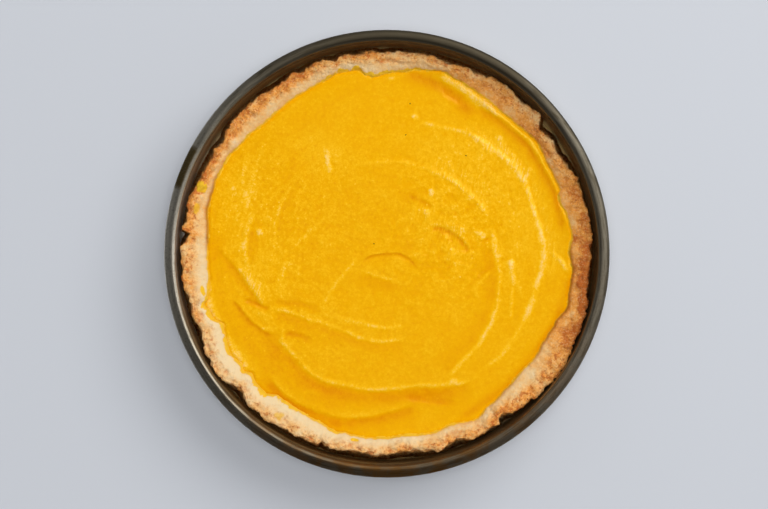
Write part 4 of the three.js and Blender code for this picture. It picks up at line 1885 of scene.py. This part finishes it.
@dataclass(frozen=True)
class Studio:
    """Table, lights and a camera straight above, in metres.

    A large soft key light stands to the upper right. An even fill from straight above lights
    only what is matt, so that the steel keeps its depth.
    """

    view_width: float = 0.4426
    camera_above_rim: float = 1.5
    camera_offset: tuple[float, float] = (-0.0015, -0.0006)
    clip_end: float = 20.0
    table_reach: float = 3.0
    key_azimuth: float = 46.0
    key_elevation: float = 50.0
    key_distance: float = 2.2
    key_size: float = 1.7
    key_power: float = 25.0
    key_colour: Colour = (1.0, 0.985, 0.96)
    fill_strength: float = 1.62
    fill_angle: float = 24.0
    sky: Colour = (0.98, 0.99, 1.0)
    sky_strength: float = 0.27
    sky_lean: float = 0.2
    overhead_strength: float = 0.06
    overhead_from: float = 0.5
    overhead_full: float = 0.82

    def build(self) -> None:
        """Builds the table, the lights and the camera."""
        self.table()
        self.light()
        self.hang_sky()
        self.camera()

    def table(self) -> None:
        """Lays the table under the tin."""
        mesh = bmesh.new()
        reach = self.table_reach / MILLIMETRE
        bmesh.ops.create_grid(mesh, x_segments=4, y_segments=4, size=reach)
        table = to_object(mesh, "table")
        table.data.materials.append(PaleTable().material())

    def light(self) -> None:
        """Hangs the key and the fill."""
        lamp = bpy.data.lights.new("key", "AREA")
        lamp.shape = "DISK"
        lamp.size = self.key_size
        lamp.energy = self.key_power
        lamp.color = self.key_colour
        key = bpy.data.objects.new("key", lamp)
        azimuth, elevation = math.radians(self.key_azimuth), math.radians(self.key_elevation)
        towards = Vector((
            math.cos(azimuth) * math.cos(elevation),
            math.sin(azimuth) * math.cos(elevation),
            math.sin(elevation),
        ))
        key.location = towards * self.key_distance
        key.rotation_euler = towards.to_track_quat("Z", "Y").to_euler()
        sun = bpy.data.lights.new("fill", "SUN")
        sun.energy = self.fill_strength
        sun.angle = math.radians(self.fill_angle)
        fill = bpy.data.objects.new("fill", sun)
        fill.location = (0.0, 0.0, self.key_distance)
        fill.visible_glossy = False
        for light in (key, fill):
            bpy.context.scene.collection.objects.link(light)

    def hang_sky(self) -> None:
        """Sets the sky's soft light: brighter on the key's side, dim overhead by the camera."""
        world = bpy.data.worlds.new("sky")
        graph = Graph(world)
        x, y, z = graph.split(graph.node("NewGeometry").outputs["Incoming"])
        azimuth = math.radians(self.key_azimuth)
        # The direction that the node gives points back at the viewer, so its signs are turned.
        leaning = (x * math.cos(azimuth) + y * math.sin(azimuth)) * -self.sky_lean
        even = leaning + self.sky_strength
        overhead = (z * z).rising(self.overhead_from, self.overhead_full)
        strength = even + overhead * (self.overhead_strength - even)
        background = graph.node("Background", color=self.sky, strength=strength)
        graph.node("OutputWorld", surface=background.outputs[0])
        bpy.context.scene.world = world

    def camera(self) -> None:
        """Sets the camera straight above the pie."""
        lens = bpy.data.cameras.new("camera")
        lens.lens = lens.sensor_width * self.camera_above_rim / self.view_width
        lens.clip_end = self.clip_end
        camera = bpy.data.objects.new("camera", lens)
        height = node_top("tin") * MILLIMETRE + self.camera_above_rim
        camera.location = (*self.camera_offset, height)
        bpy.context.scene.collection.objects.link(camera)
        bpy.context.scene.camera = camera


def main() -> None:
    """Builds the pie and the studio."""
    logging.basicConfig(level=logging.INFO, format="%(name)s: %(message)s")
    for piece in (Tin(TinSizes()), PastryCase(CrustSizes()), Filling(FillingSizes())):
        made = piece.build()
        LOG.info("%s: %d faces", made.name, len(made.data.polygons))
    Studio().build()
    scene = bpy.context.scene
    scene.view_settings.view_transform = "Standard"
    scene.cycles.use_denoising = True


if __name__ == "__main__":
    main()
